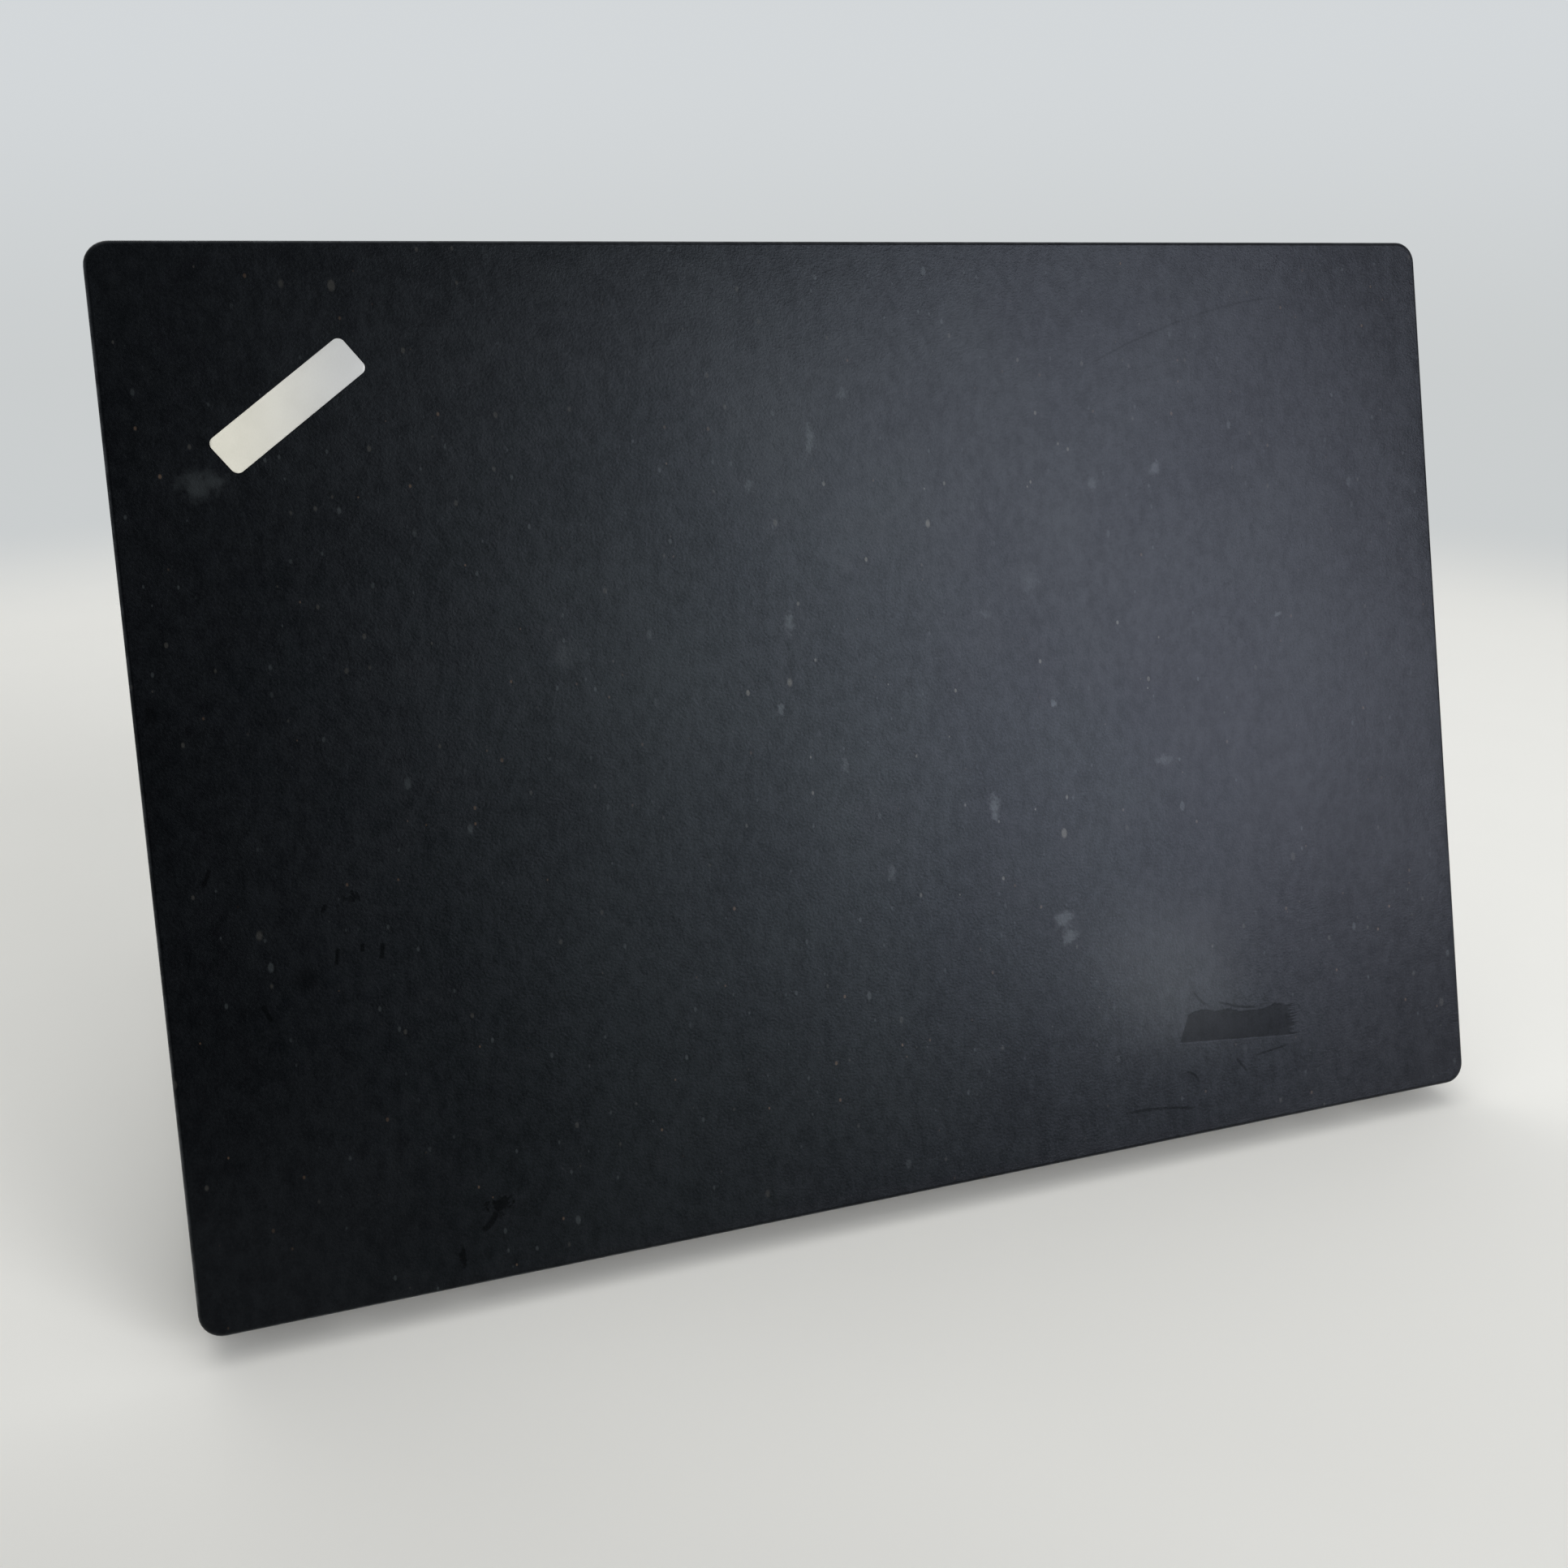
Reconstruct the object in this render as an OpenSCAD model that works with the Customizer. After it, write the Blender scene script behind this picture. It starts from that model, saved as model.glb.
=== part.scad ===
// Thin 13.3 inch notebook computer on a drop-down friction hinge.
// X runs across the keyboard to the user's right, Y from the user to the hinge, Z up.
// The origin is under the middle of the machine as it stands open, on the table.
// Two local coordinates serve both halves, counted from the hinge axis:
// "u" is the distance in front of the axis with the lid closed, "v" the height above it.

/* [Casing] */
// Width of base and lid
body_w = 312; // [306:1:324]
// Lid length, front edge to tail
lid_d = 217; // [213:1:226]
// Lid thickness
lid_t = 5.0; // [4.6:0.1:5.2]
// Plan radius of the corners
corner_r = 5; // [3:0.5:8]
// Base thickness without feet
base_t = 9.6; // [9.6:0.1:11]
// Rubber foot height
foot_h = 1.5; // [1.5:0.1:2.4]
// Round of the outer edges
edge_r = 1.0; // [0.6:0.1:1.3]
// Height of the bottom cover's rim
cover_rim_h = 2.1; // [1.8:0.1:2.3]
// Slope of the bottom cover's edge, measured across
cover_chamfer = 1.8; // [1:0.2:3]
// Sheet thickness of the bottom cover
cover_t = 1.2; // [1:0.1:1.4]
// Side wall of the top case
case_wall = 1.4; // [1.1:0.1:1.6]
// Deck thickness of the top case
deck_t = 1.5; // [1.3:0.1:1.6]

/* [Lid] */
// Outer skin of the lid cover
skin_t = 1.1; // [0.9:0.1:1.3]
// Rim wall of the lid cover
rim_t = 1.3; // [1.1:0.1:1.8]
// Bezel thickness
bezel_t = 1.0; // [0.8:0.1:1.1]
// Bezel beside the screen
side_bezel = 9.1; // [8.6:0.1:11]
// Bezel above the screen
top_bezel = 12; // [11.5:0.5:14]
// Distance of the screen's lower edge from the hinge axis
chin = 33.9; // [33.4:0.1:38]
// Thickness of the display panel
panel_t = 2.6; // [2.2:0.1:2.7]
// Length of the nameplate
badge_w = 34; // [28:1:40]
// Height of the nameplate
badge_h = 8.5; // [6:0.5:12]
// Slant of the nameplate in degrees
badge_slant = 37; // [0:1:45]
// Camera lens radius
lens_r = 1.6; // [1.2:0.1:1.8]
// Travel of the camera shutter
shutter_travel = 4.7; // [4:0.1:4.8]

/* [Hinge] */
// Opening angle of the lid, from closed
lid_open = 75; // [40:1:110]
// Lid length behind the axis
tail = 4.6; // [4.2:0.1:4.8]
// Radius of the rounded rear edge of the deck
nose_r = 2.1; // [2.1:0.05:2.3]
// Gap between deck and closed lid
lid_gap = 0.7; // [0.6:0.05:0.9]
// Hinge pin radius
pin_r = 1.45; // [1.3:0.05:1.6]
// Radial play of the pin in the barrel
pin_play = 0.05; // [0.02:0.01:0.08]
// Outer radius of barrel and knuckle
barrel_r = 2.2; // [2.1:0.05:2.25]
// Length of the barrel on the base leaf
barrel_len = 10; // [8:0.5:11]
// Length of the knuckle on the lid leaf
knuckle_len = 5; // [4:0.5:6]
// Distance of the hinge zone's outer end from the side
hinge_inset = 28; // [26:1:32]
// Leaf thickness
leaf_t = 1.2; // [1:0.1:1.4]

/* [Keyboard] */
// Deck beside the keys
keyboard_side = 14.25; // [13.25:0.25:16]
// Key pitch front to back
pitch_y = 18.4; // [18:0.1:18.8]
// Pitch of the function row
fn_pitch = 11.5; // [10.5:0.1:12.5]
// Web between the keys
key_web = 1.6; // [1.3:0.1:2]
// Gap round each keycap
key_gap = 0.45; // [0.35:0.05:0.6]
// Keycap height
cap_h = 2.3; // [2.1:0.1:2.4]
// Keycap rise above the deck
cap_rise = 0.2; // [0:0.05:0.35]
// Key travel
key_travel = 1.5; // [1.2:0.1:1.6]
// Inward slope of a keycap's sides
cap_draft = 0.5; // [0.3:0.1:0.8]
// Depth of the hollow in a keycap's top
dish = 0.25; // [0.15:0.05:0.3]
// Distance of the keyboard opening from the hinge axis
kb_back = 19.5; // [19.5:0.5:21]
// Pointing stick radius
stick_r = 2.9; // [2.6:0.1:3]

/* [Pointer] */
// Touchpad width
pad_w = 98; // [90:1:104]
// Palm rest in front of the touchpad
palm_front = 15.6; // [14.6:0.2:20]
// Touchpad thickness
pad_t = 1.2; // [1:0.1:1.3]
// Press travel at the touchpad's front edge
pad_travel = 0.5; // [0.4:0.05:0.6]
// Depth of the pointer buttons
button_d = 10; // [8:0.5:11]
// Width of the middle pointer button
mid_button_w = 22; // [18:1:30]
// Travel of the pointer and power buttons
button_travel = 0.5; // [0.4:0.05:0.5]
// Gap round buttons and touchpad
trim_gap = 0.3; // [0.2:0.05:0.4]

/* [Cooling] */
// Side of the fan housing
fan_size = 48; // [44:1:49]
// Number of fan blades
fan_blades = 27; // [19:2:33]
// Pitch of the cooling fins
fin_pitch = 1.8; // [1.6:0.1:2.4]
// Pitch of the vent slots
vent_pitch = 3.2; // [3:0.1:4]
// Width of a vent slot
vent_w = 1.6; // [1.2:0.1:1.8]

/* [Ports] */
// Height of the port centres above the table
port_z = 6.65; // [6.65:0.05:6.7]
// Audio socket bore radius
jack_r = 1.75; // [1.7:0.05:1.8]
// Audio socket depth
jack_depth = 14; // [13:0.5:15]
// Depth of the wide sockets
port_depth = 10; // [9:0.5:10]
// Play of a socket in its wall cut-out
port_play = 0.15; // [0.1:0.05:0.25]

/* [Hidden] */

$fn = 48;
// Extra length that lets a cutter pass a face
cut = 1;

// Heights above the table
base_z = foot_h;
top_z = base_z + base_t;
axis_z = top_z - nose_r;
deck_z = top_z - deck_t;
floor_z = base_z + cover_t;
split_z = base_z + cover_rim_h;

// Lid, counted from the hinge axis
face_v = nose_r + lid_gap;
back_v = face_v + lid_t;
lid_len = lid_d - tail;
bezel_v = face_v + bezel_t;
seat_gap = 0.05;
skin_v = back_v - skin_t;
screen_top_u = lid_len - rim_t - top_bezel;
screen_bottom_u = chin;
screen_w = body_w - 2 * side_bezel;
panel_side = 3;
panel_foot = 7;
rear_play = 0.4;
base_back = sqrt(tail * tail + face_v * face_v) + rear_play;

// Nameplate, counted from the lid's corner
badge_depth = 0.4;
badge_play = 0.1;
badge_side = 35;
badge_down = 32.6;

// Camera, shutter and antennas share the strip above the screen
camera_u = (screen_top_u + lid_len - rim_t) / 2 + 1;
shutter_v = bezel_v + seat_gap;
shutter_t = 0.3;
shutter_w = 11;
shutter_d = 4.4;
tab_w = 1.8;
shutter_open_x = lens_r + 1;
shutter_slot_w = tab_w + shutter_travel + 0.5;
tab_play = 0.25;
tab_inset = 0.9;
shutter_slot_x = shutter_open_x + shutter_w - tab_inset - shutter_slot_w + tab_play;
shutter_slot_d = 1.7;

// Rearmost point of the open lid, which sets the origin half way along the machine
function reach(u, v, r) = (u * -cos(lid_open) + v * sin(lid_open)) + r;
rear_reach = max(
    reach(-tail + edge_r, back_v - edge_r, edge_r),
    reach(lid_len - edge_r, back_v - edge_r, edge_r)
);
axis_y = (lid_len - rear_reach) / 2;

// Hinge zones, one near each side
zone_w = 25;
zone_out = body_w / 2 - hinge_inset;
zone_in = zone_out - zone_w;
zone_clear = 3.2;
washer_t = 0.7;
washer_count = 4;
washer_gap = 0.1;
barrel_x = zone_in + 2.5;
washer_x = barrel_x + barrel_len + washer_gap;
knuckle_x = washer_x + washer_count * (washer_t + washer_gap);
pin_head = 1;
leaf_w = 19;
leaf_reach = 18;
leaf_screw_u = 13.5;
screw_r = 0.9;
screw_play = 0.15;
screw_head_r = 2.1;
screw_head_t = 0.8;
lid_leaf_reach = 23;
lid_leaf_v = bezel_v + 0.6;
lid_screw_u = 18;
lid_screw_x = [zone_in + 8, zone_out - 6];
base_screw_x = [barrel_x + 4, barrel_x + 15];

// Thin parts behind the panel
circuit_t = 0.8;
cable_t = 0.5;
cable_w = 8;
cable_x = 6 - zone_in;
driver_d = 9;

// Keyboard
rows = 5;
key_columns = 15;
pitch_x = (body_w - 2 * keyboard_side) / key_columns;
frame_edge = 1.2;
frame_w = key_columns * pitch_x + 2 * frame_edge;
frame_d = rows * pitch_y + fn_pitch + 2 * frame_edge;
frame_play = 0.15;
frame_t = 1.0;
plate_t = 0.5;
plate_lip = 1.2;
key_floor_play = 0.3;
cap_z = top_z + cap_rise - cap_h;
plate_z = cap_z - key_travel - key_floor_play - plate_t;
keys_u = kb_back + frame_play + frame_edge;
kb_front = kb_back + frame_d + 2 * frame_play;
key_r = 1.2;
function row_u(row) = row == 0 ? keys_u : keys_u + fn_pitch + (row - 1) * pitch_y;
function row_d(row) = row == 0 ? fn_pitch : pitch_y;

// Widths of the keys in key units, row by row from the hinge side
fn_units = [for (i = [0:16]) key_columns / 17];
number_units = [for (i = [0:13]) i == 13 ? 2 : 1];
upper_units = [for (i = [0:13]) i == 0 || i == 13 ? 1.5 : 1];
home_units = [for (i = [0:12]) i == 0 ? 1.75 : i == 12 ? 2.25 : 1];
lower_units = [for (i = [0:11]) i == 0 ? 2.25 : i == 11 ? 2.75 : 1];
bottom_units = [for (i = [0:7]) i == 4 ? 5 : 1];
arrow_first = 12;
all_rows = [fn_units, number_units, upper_units, home_units, lower_units, bottom_units];
function start(units, i) = i == 0 ? 0 : units[i - 1] + start(units, i - 1);

// The pointing stick stands where three keys meet, on the line below the home row
stick_x = (1.75 + 5 - key_columns / 2) * pitch_x;
stick_u = row_u(4);
stick_collar = 0.7;
stick_rise = 0.6;

// Pointer buttons and touchpad share one opening in the deck
palm_gap = 2.2;
pad_open_u = kb_front + palm_gap;
pad_open_w = pad_w + 2 * trim_gap;
button_u = pad_open_u + trim_gap;
pad_u = button_u + button_d + 2 * trim_gap;
pad_d = lid_len - palm_front - pad_u;
pad_open_d = pad_u + pad_d + trim_gap - pad_open_u;
pad_top = top_z - 0.1;
bracket_t = 0.4;
bracket_lip = 3;
bracket_z = pad_top - pad_t - pad_travel - 0.1 - bracket_t;
side_button_w = (pad_w - mid_button_w) / 2 - 2 * trim_gap;

// Power button
power_w = 13;
power_d = 6;
power_x = body_w / 2 - 24 + power_w / 2;
power_u = 10;

// Inner parts
inner_x = body_w / 2 - case_wall;
inner_front = lid_len - case_wall;
inner_back = base_back + case_wall;
standoff = 0.5;
board_z = floor_z + standoff;
board_t = 1.0;
chip_z = board_z + board_t;
board_back = inner_back + 27;
board_front = kb_front - 2;
arm_front = kb_front + 22;
socket_side = body_w / 2 - 0.7;
board_left = socket_side - port_depth - 0.1;
arm_left = socket_side - 14.1;
fan_x = body_w / 2 - 48;
fan_u = board_back + 34;
fan_z = floor_z + 0.3;
fan_t = plate_z - 0.2 - fan_z;
fan_wall = 1;
rotor_r = fan_size / 2 - 3;
hub_r = 8;
spindle_r = 1;
board_right = fan_x - fan_size / 2 - 3;
cpu_x = 8;
cpu_u = board_back + 38;
package_w = 46;
package_d = 24;
package_t = 0.4;
die_t = 0.3;
cold_plate_t = 0.4;
pipe_w = 7;
pipe_t = 1.1;
pipe_z = chip_z + package_t + die_t + cold_plate_t;
pipe_u = board_back + 4;
fin_w = 16;
fin_x = inner_x - 2 - fin_w;
fin_d = fan_size - 2;
pipe_clear = 1.2;
arm_w = 33;
coin_r = 8;
card_d = 22;
card_t = 0.7;
card_lift = 0.4;
card_front = board_front - 2;
speaker_w = 42;
speaker_t = 5;
speaker_u = kb_front + 44.3;
speaker_d = inner_front - 9 - speaker_u;
speaker_x = inner_x - 3 - speaker_w;
battery_gap = 11.6;
battery_w = 2 * (speaker_x - battery_gap);
battery_t = bracket_z - 0.3 - floor_z;
battery_u = kb_front + 4;
battery_front = 7.3;
battery_d = inner_front - battery_front - battery_u;

// Places of the sockets, counted from the hinge axis
usb_c_u = [26, 42];
hdmi_u = 66;
usb_a_u = kb_front + 10;
jack_u = usb_a_u + 18;
lock_u = 26;
usb_a_w = 12.5;
usb_a_h = 5.1;
usb_c_w = 8.34;
usb_c_h = 2.56;
hdmi_w = 14;
hdmi_h = 4.55;
shell_t = 0.3;
usb_a_tip = 2.4;
hdmi_tip = 4.4;
usb_a_depth = 14;
collar_r = 2.7;
lock_w = 7;
lock_h = 3;

// Feet
foot_long = 40;
foot_wide = 7;
foot_seat = 0.4;
foot_x = body_w / 2 - 42;
front_foot_u = lid_len - 12;
rear_foot_u = base_back + 9;

// Screws of the bottom cover
rear_screw_u = 13;
front_screw_u = inner_front - 4.2;
rear_screws = [32, foot_x - 28];
front_screws = [52, foot_x + 26];
boss_r = 2.6;
cover_screw_r = 1.0;
cover_head_r = 2.0;
cover_head_t = 0.6;
cover_screw_len = 4;

// ---- Helpers ----

// Puts its children at the hinge axis, in the frame of the base
module from_axis() {
    translate([0, axis_y, 0]) children();
}

// Puts its children in the frame of the lid, whose origin is on the hinge axis
module in_lid() {
    translate([0, axis_y, axis_z]) rotate([-lid_open, 0, 0]) children();
}

// Box given by its limits in x, u and height
module block(x0, x1, u0, u1, z0, z1) {
    translate([x0, -u1, z0]) cube([x1 - x0, u1 - u0, z1 - z0]);
}

// Rounded rectangle centred on the origin, made of squares and circles
module round_rect(w, d, r) {
    square([w - 2 * r, d], center = true);
    square([w, d - 2 * r], center = true);
    for (sx = [-1, 1], sy = [-1, 1])
        translate([sx * (w / 2 - r), sy * (d / 2 - r)]) circle(r);
}

// Rounded rectangle as one polygon, for openings that lie close together
module soft_rect(w, d, r) {
    steps = 4;
    polygon([
        for (corner = [0:3], i = [0:steps])
            let (
                a = 90 * corner + 90 * i / steps,
                sx = corner == 0 || corner == 3 ? 1 : -1,
                sy = corner < 2 ? 1 : -1
            )
            [sx * (w / 2 - r) + r * cos(a), sy * (d / 2 - r) + r * sin(a)]
    ]);
}

// Rounded block by its limits in x, u and height
module round_block(x0, x1, u0, u1, z0, z1, r) {
    translate([(x0 + x1) / 2, -(u0 + u1) / 2, z0])
        linear_extrude(z1 - z0) round_rect(x1 - x0, u1 - u0, r);
}

// Rounded outline drawn up between two heights, shrunk all round by an inset
module layer(w, u0, u1, inset, z0, z1) {
    translate([0, -(u0 + u1) / 2, z0])
        linear_extrude(z1 - z0)
            offset(r = corner_r - inset, $fn = 32)
                square([w - 2 * corner_r, u1 - u0 - 2 * corner_r], center = true);
}

// Slab whose upper edge is rounded by r, and whose lower edge is drawn in by a chamfer
module edged_slab(w, u0, u1, z0, z1, r, low_in, low_h) {
    steps = 4;
    middle = z1 - r - 0.5;
    hull() {
        layer(w, u0, u1, low_in, z0, middle);
        for (i = [0:steps])
            layer(w, u0, u1, r * (1 - cos(90 * i / steps)), z0 + low_h, z1 - r * (1 - sin(90 * i / steps)));
    }
}

module mirrored() {
    children();
    mirror([1, 0, 0]) children();
}

// ---- Lid ----

module lid_cover() {
    color("#24272b") in_lid() {
        difference() {
            edged_slab(body_w, -tail, lid_len, face_v, back_v, edge_r, 0.3, 0.3);
            round_block(-body_w / 2 + rim_t, body_w / 2 - rim_t, -tail + rim_t, lid_len - rim_t,
                face_v - cut, skin_v, corner_r - rim_t);
            badge_place(badge_depth + cut, badge_play);
        }
        lid_bosses();
    }
}

// Recess and plate in the lid's outer corner, slanted across it
module badge_place(t, play) {
    translate([body_w / 2 - badge_side, -(lid_len - badge_down), back_v - badge_depth])
        rotate([0, 0, badge_slant])
            linear_extrude(t) round_rect(badge_w + 2 * play, badge_h + 2 * play, 1.5);
}

module lid_badge() {
    color("#9a9ca0") in_lid() badge_place(badge_depth - 0.1, 0);
}

module lid_bosses() {
    for (s = [-1, 1], x = lid_screw_x)
        translate([s * x, -lid_screw_u, lid_leaf_v + leaf_t])
            cylinder(r = boss_r, h = skin_v - lid_leaf_v - leaf_t + skin_t / 2);
}

module display_bezel() {
    play = 0.1;
    color("#1a1b1d") in_lid() difference() {
        round_block(-body_w / 2 + rim_t + play, body_w / 2 - rim_t - play, -tail + rim_t + play,
            lid_len - rim_t - play, face_v, bezel_v, corner_r - rim_t);
        block(-screen_w / 2, screen_w / 2, screen_bottom_u, screen_top_u, face_v - cut, bezel_v + cut);
        translate([0, -camera_u, face_v - cut]) cylinder(r = lens_r + 0.2, h = bezel_t + 2 * cut);
        round_block(shutter_slot_x, shutter_slot_x + shutter_slot_w, camera_u - shutter_slot_d / 2,
            camera_u + shutter_slot_d / 2, face_v - cut, bezel_v + cut, 0.6);
        mirrored() block(knuckle_x - 0.5, knuckle_x + knuckle_len + 0.5, -tail, barrel_r + 0.7,
            face_v - cut, bezel_v + cut);
    }
}

module lcd_panel() {
    color("#101216") in_lid()
        round_block(-screen_w / 2 - panel_side, screen_w / 2 + panel_side, screen_bottom_u - panel_foot,
            screen_top_u + panel_side, bezel_v + seat_gap, bezel_v + seat_gap + panel_t, 0.8);
}

// Narrow board under the panel's foot, with the driver chips in a row
module lcd_driver_board() {
    left = cable_x - 2;
    length = 160;
    front = screen_bottom_u - panel_foot;
    back = front - driver_d;
    chip_w = 18;
    chip_t = 0.8;
    chip_step = 36;
    edge = 1;
    face = skin_v - circuit_t;
    color("#2e5a3a") in_lid() {
        block(left, left + length, back, front, face, skin_v);
        for (x = [left + cable_w:chip_step:left + length - chip_w])
            block(x, x + chip_w, back + edge, front - 2 * edge, face - chip_t, face);
    }
}

// Long narrow board with the camera's can in its middle and the lens on top
module camera_module() {
    can_w = 9;
    strip_w = 60;
    strip_d = 5.2;
    lens_t = 0.3;
    top = shutter_v + shutter_t + 0.1;
    near = camera_u - strip_d / 2;
    far = camera_u + strip_d / 2;
    color("#3a3d42") in_lid() {
        block(-strip_w / 2, strip_w / 2, near, far, skin_v - circuit_t, skin_v);
        block(-can_w / 2, can_w / 2, near, far, top + lens_t, skin_v - circuit_t);
        translate([0, -camera_u, top]) cylinder(r = lens_r, h = lens_t);
    }
}

module camera_shutter() {
    tab_end = shutter_slot_x + shutter_slot_w - tab_play;
    tab_d = shutter_slot_d - 0.3;
    tab_rise = 0.25;
    color("#b8bbc0") in_lid() {
        round_block(shutter_open_x, shutter_open_x + shutter_w, camera_u - shutter_d / 2,
            camera_u + shutter_d / 2, shutter_v, shutter_v + shutter_t, 0.5);
        block(tab_end - tab_w, tab_end, camera_u - tab_d / 2, camera_u + tab_d / 2, face_v - tab_rise,
            shutter_v);
    }
}

// Foil strips beside the camera, one for each radio
module antennas() {
    foil_x = 50;
    foil_w = 40;
    foil_d = 5;
    foil_t = 0.6;
    color("#b08d57") in_lid() mirrored()
        block(foil_x, foil_x + foil_w, camera_u - foil_d / 2, camera_u + foil_d / 2, skin_v - foil_t, skin_v);
}

// Flat cable from the driver board down to the tail, and the fold that lies along it
module display_cable() {
    low = -tail + rim_t + 0.5;
    fold_w = 37;
    fold_top = 4;
    color("#1d1d1f") in_lid() {
        block(cable_x, cable_x + cable_w, low, screen_bottom_u - panel_foot - driver_d, skin_v - cable_t,
            skin_v);
        block(cable_x, cable_x + fold_w, low, fold_top, skin_v - 2 * cable_t, skin_v - cable_t);
    }
}

module lid_bumpers() {
    bumper_r = 2;
    bumper_h = 0.45;
    bumper_side = 5;
    color("#0e0e10") in_lid() mirrored()
        for (u = [screen_bottom_u - 4, screen_top_u - 60, screen_top_u + 4.5])
            translate([body_w / 2 - bumper_side, -u, face_v - bumper_h]) cylinder(r = bumper_r, h = bumper_h);
}

// ---- Hinges, drawn for the side at +X ----

module lid_leaf() {
    in_lid() difference() {
        union() {
            block(zone_in + 4, zone_out - 2, -1, lid_leaf_reach, lid_leaf_v, lid_leaf_v + leaf_t);
            block(knuckle_x, knuckle_x + knuckle_len, -1.9, barrel_r, 0, lid_leaf_v);
            translate([knuckle_x, 0, 0]) rotate([0, 90, 0]) cylinder(r = barrel_r, h = knuckle_len);
        }
        translate([knuckle_x - cut, 0, 0]) rotate([0, 90, 0])
            cylinder(r = pin_r, h = knuckle_len + 2 * cut);
        for (x = lid_screw_x)
            translate([x, -lid_screw_u, lid_leaf_v - cut])
                cylinder(r = screw_r + screw_play, h = leaf_t + 2 * cut);
    }
}

module hinge_lid_leaf_right() {
    color("#8f9398") lid_leaf();
}

module hinge_lid_leaf_left() {
    color("#8f9398") mirror([1, 0, 0]) lid_leaf();
}

module pin() {
    in_lid() translate([barrel_x - 0.5, 0, 0]) rotate([0, 90, 0]) {
        cylinder(r = pin_r, h = knuckle_x + knuckle_len - barrel_x + 0.5);
        translate([0, 0, knuckle_x + knuckle_len - barrel_x + 0.5]) cylinder(r = barrel_r, h = pin_head);
    }
}

module hinge_pin_right() {
    color("#c8cacd") pin();
}

module hinge_pin_left() {
    color("#c8cacd") mirror([1, 0, 0]) pin();
}

module hinge_washers() {
    color("#c8cacd") in_lid() mirrored()
        for (i = [0:washer_count - 1])
            translate([washer_x + i * (washer_t + washer_gap), 0, 0]) rotate([0, 90, 0]) difference() {
                cylinder(r = barrel_r, h = washer_t);
                translate([0, 0, -cut]) cylinder(r = pin_r + pin_play, h = washer_t + 2 * cut);
            }
}

module lid_hinge_screws() {
    color("#55585c") in_lid() mirrored()
        for (x = lid_screw_x)
            translate([x, -lid_screw_u, 0]) {
                translate([0, 0, lid_leaf_v - 0.5]) cylinder(r = screw_head_r, h = 0.5);
                translate([0, 0, lid_leaf_v]) cylinder(r = screw_r, h = leaf_t);
            }
}

module base_leaf() {
    from_axis() difference() {
        union() {
            block(barrel_x, barrel_x + barrel_len, 0, zone_clear + cut, axis_z - leaf_t / 2,
                axis_z + leaf_t / 2);
            block(barrel_x, barrel_x + leaf_w, zone_clear, leaf_reach, axis_z - leaf_t / 2,
                axis_z + leaf_t / 2);
            translate([barrel_x, 0, axis_z]) rotate([0, 90, 0]) cylinder(r = barrel_r, h = barrel_len);
        }
        translate([barrel_x - cut, 0, axis_z]) rotate([0, 90, 0])
            cylinder(r = pin_r + pin_play, h = barrel_len + 2 * cut);
        for (x = base_screw_x)
            translate([x, -leaf_screw_u, axis_z - leaf_t])
                cylinder(r = screw_r + screw_play, h = 2 * leaf_t);
    }
}

module hinge_base_leaf_right() {
    color("#8f9398") base_leaf();
}

module hinge_base_leaf_left() {
    color("#8f9398") mirror([1, 0, 0]) base_leaf();
}

module base_hinge_screws() {
    color("#55585c") from_axis() mirrored()
        for (x = base_screw_x)
            translate([x, -leaf_screw_u, 0]) {
                translate([0, 0, axis_z - leaf_t / 2 - screw_head_t])
                    cylinder(r = screw_head_r, h = screw_head_t);
                translate([0, 0, axis_z - leaf_t / 2]) cylinder(r = screw_r, h = leaf_t);
            }
}

// ---- Casing of the base ----

module top_case() {
    color("#202225") from_axis() difference() {
        union() {
            case_shell();
            deck_ribs();
        }
        deck_openings();
        side_openings();
        mirrored() hinge_cut();
        at_cover_screws() translate([0, 0, floor_z - cut])
            cylinder(r = cover_screw_r, h = cover_screw_len + cut);
    }
}

// Puts its children at each screw of the bottom cover
module at_cover_screws() {
    for (s = [-1, 1]) {
        for (x = rear_screws) translate([s * x, -rear_screw_u, 0]) children();
        for (x = front_screws) translate([s * x, -front_screw_u, 0]) children();
    }
}

// Walls, deck and the rounded nose along the hinge axis
module case_shell() {
    over = corner_r;
    difference() {
        edged_slab(body_w, -over, lid_len, split_z, top_z, edge_r, 0, 0.01);
        block(-body_w, body_w, -over - cut, 0, 0, top_z + cut);
        block(-body_w, body_w, -cut, base_back, 0, axis_z - nose_r);
        block(-inner_x, inner_x, inner_back, inner_front, 0, deck_z);
    }
    translate([-body_w / 2 + edge_r, 0, axis_z]) rotate([0, 90, 0])
        cylinder(r = nose_r, h = body_w - 2 * edge_r);
}

// Frame round the keyboard opening and the screw bosses
module deck_ribs() {
    rib_x = frame_w / 2 + frame_play;
    difference() {
        block(-rib_x - plate_lip, rib_x + plate_lip, kb_back - plate_lip, kb_front + plate_lip,
            plate_z + plate_t, deck_z);
        block(-rib_x, rib_x, kb_back, kb_front, plate_z, deck_z + cut);
    }
    at_cover_screws() translate([0, 0, floor_z]) cylinder(r = boss_r, h = deck_z - floor_z);
}

module deck_openings() {
    open_x = frame_w / 2 + frame_play;
    block(-open_x, open_x, kb_back, kb_front, deck_z - cut, top_z + cut);
    round_block(-pad_open_w / 2, pad_open_w / 2, pad_open_u, pad_open_u + pad_open_d, deck_z - cut,
        top_z + cut, 1.5);
    round_block(power_x - power_w / 2 - trim_gap, power_x + power_w / 2 + trim_gap,
        power_u - trim_gap, power_u + power_d + trim_gap, deck_z - cut, top_z + cut, 1.5);
}

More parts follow.
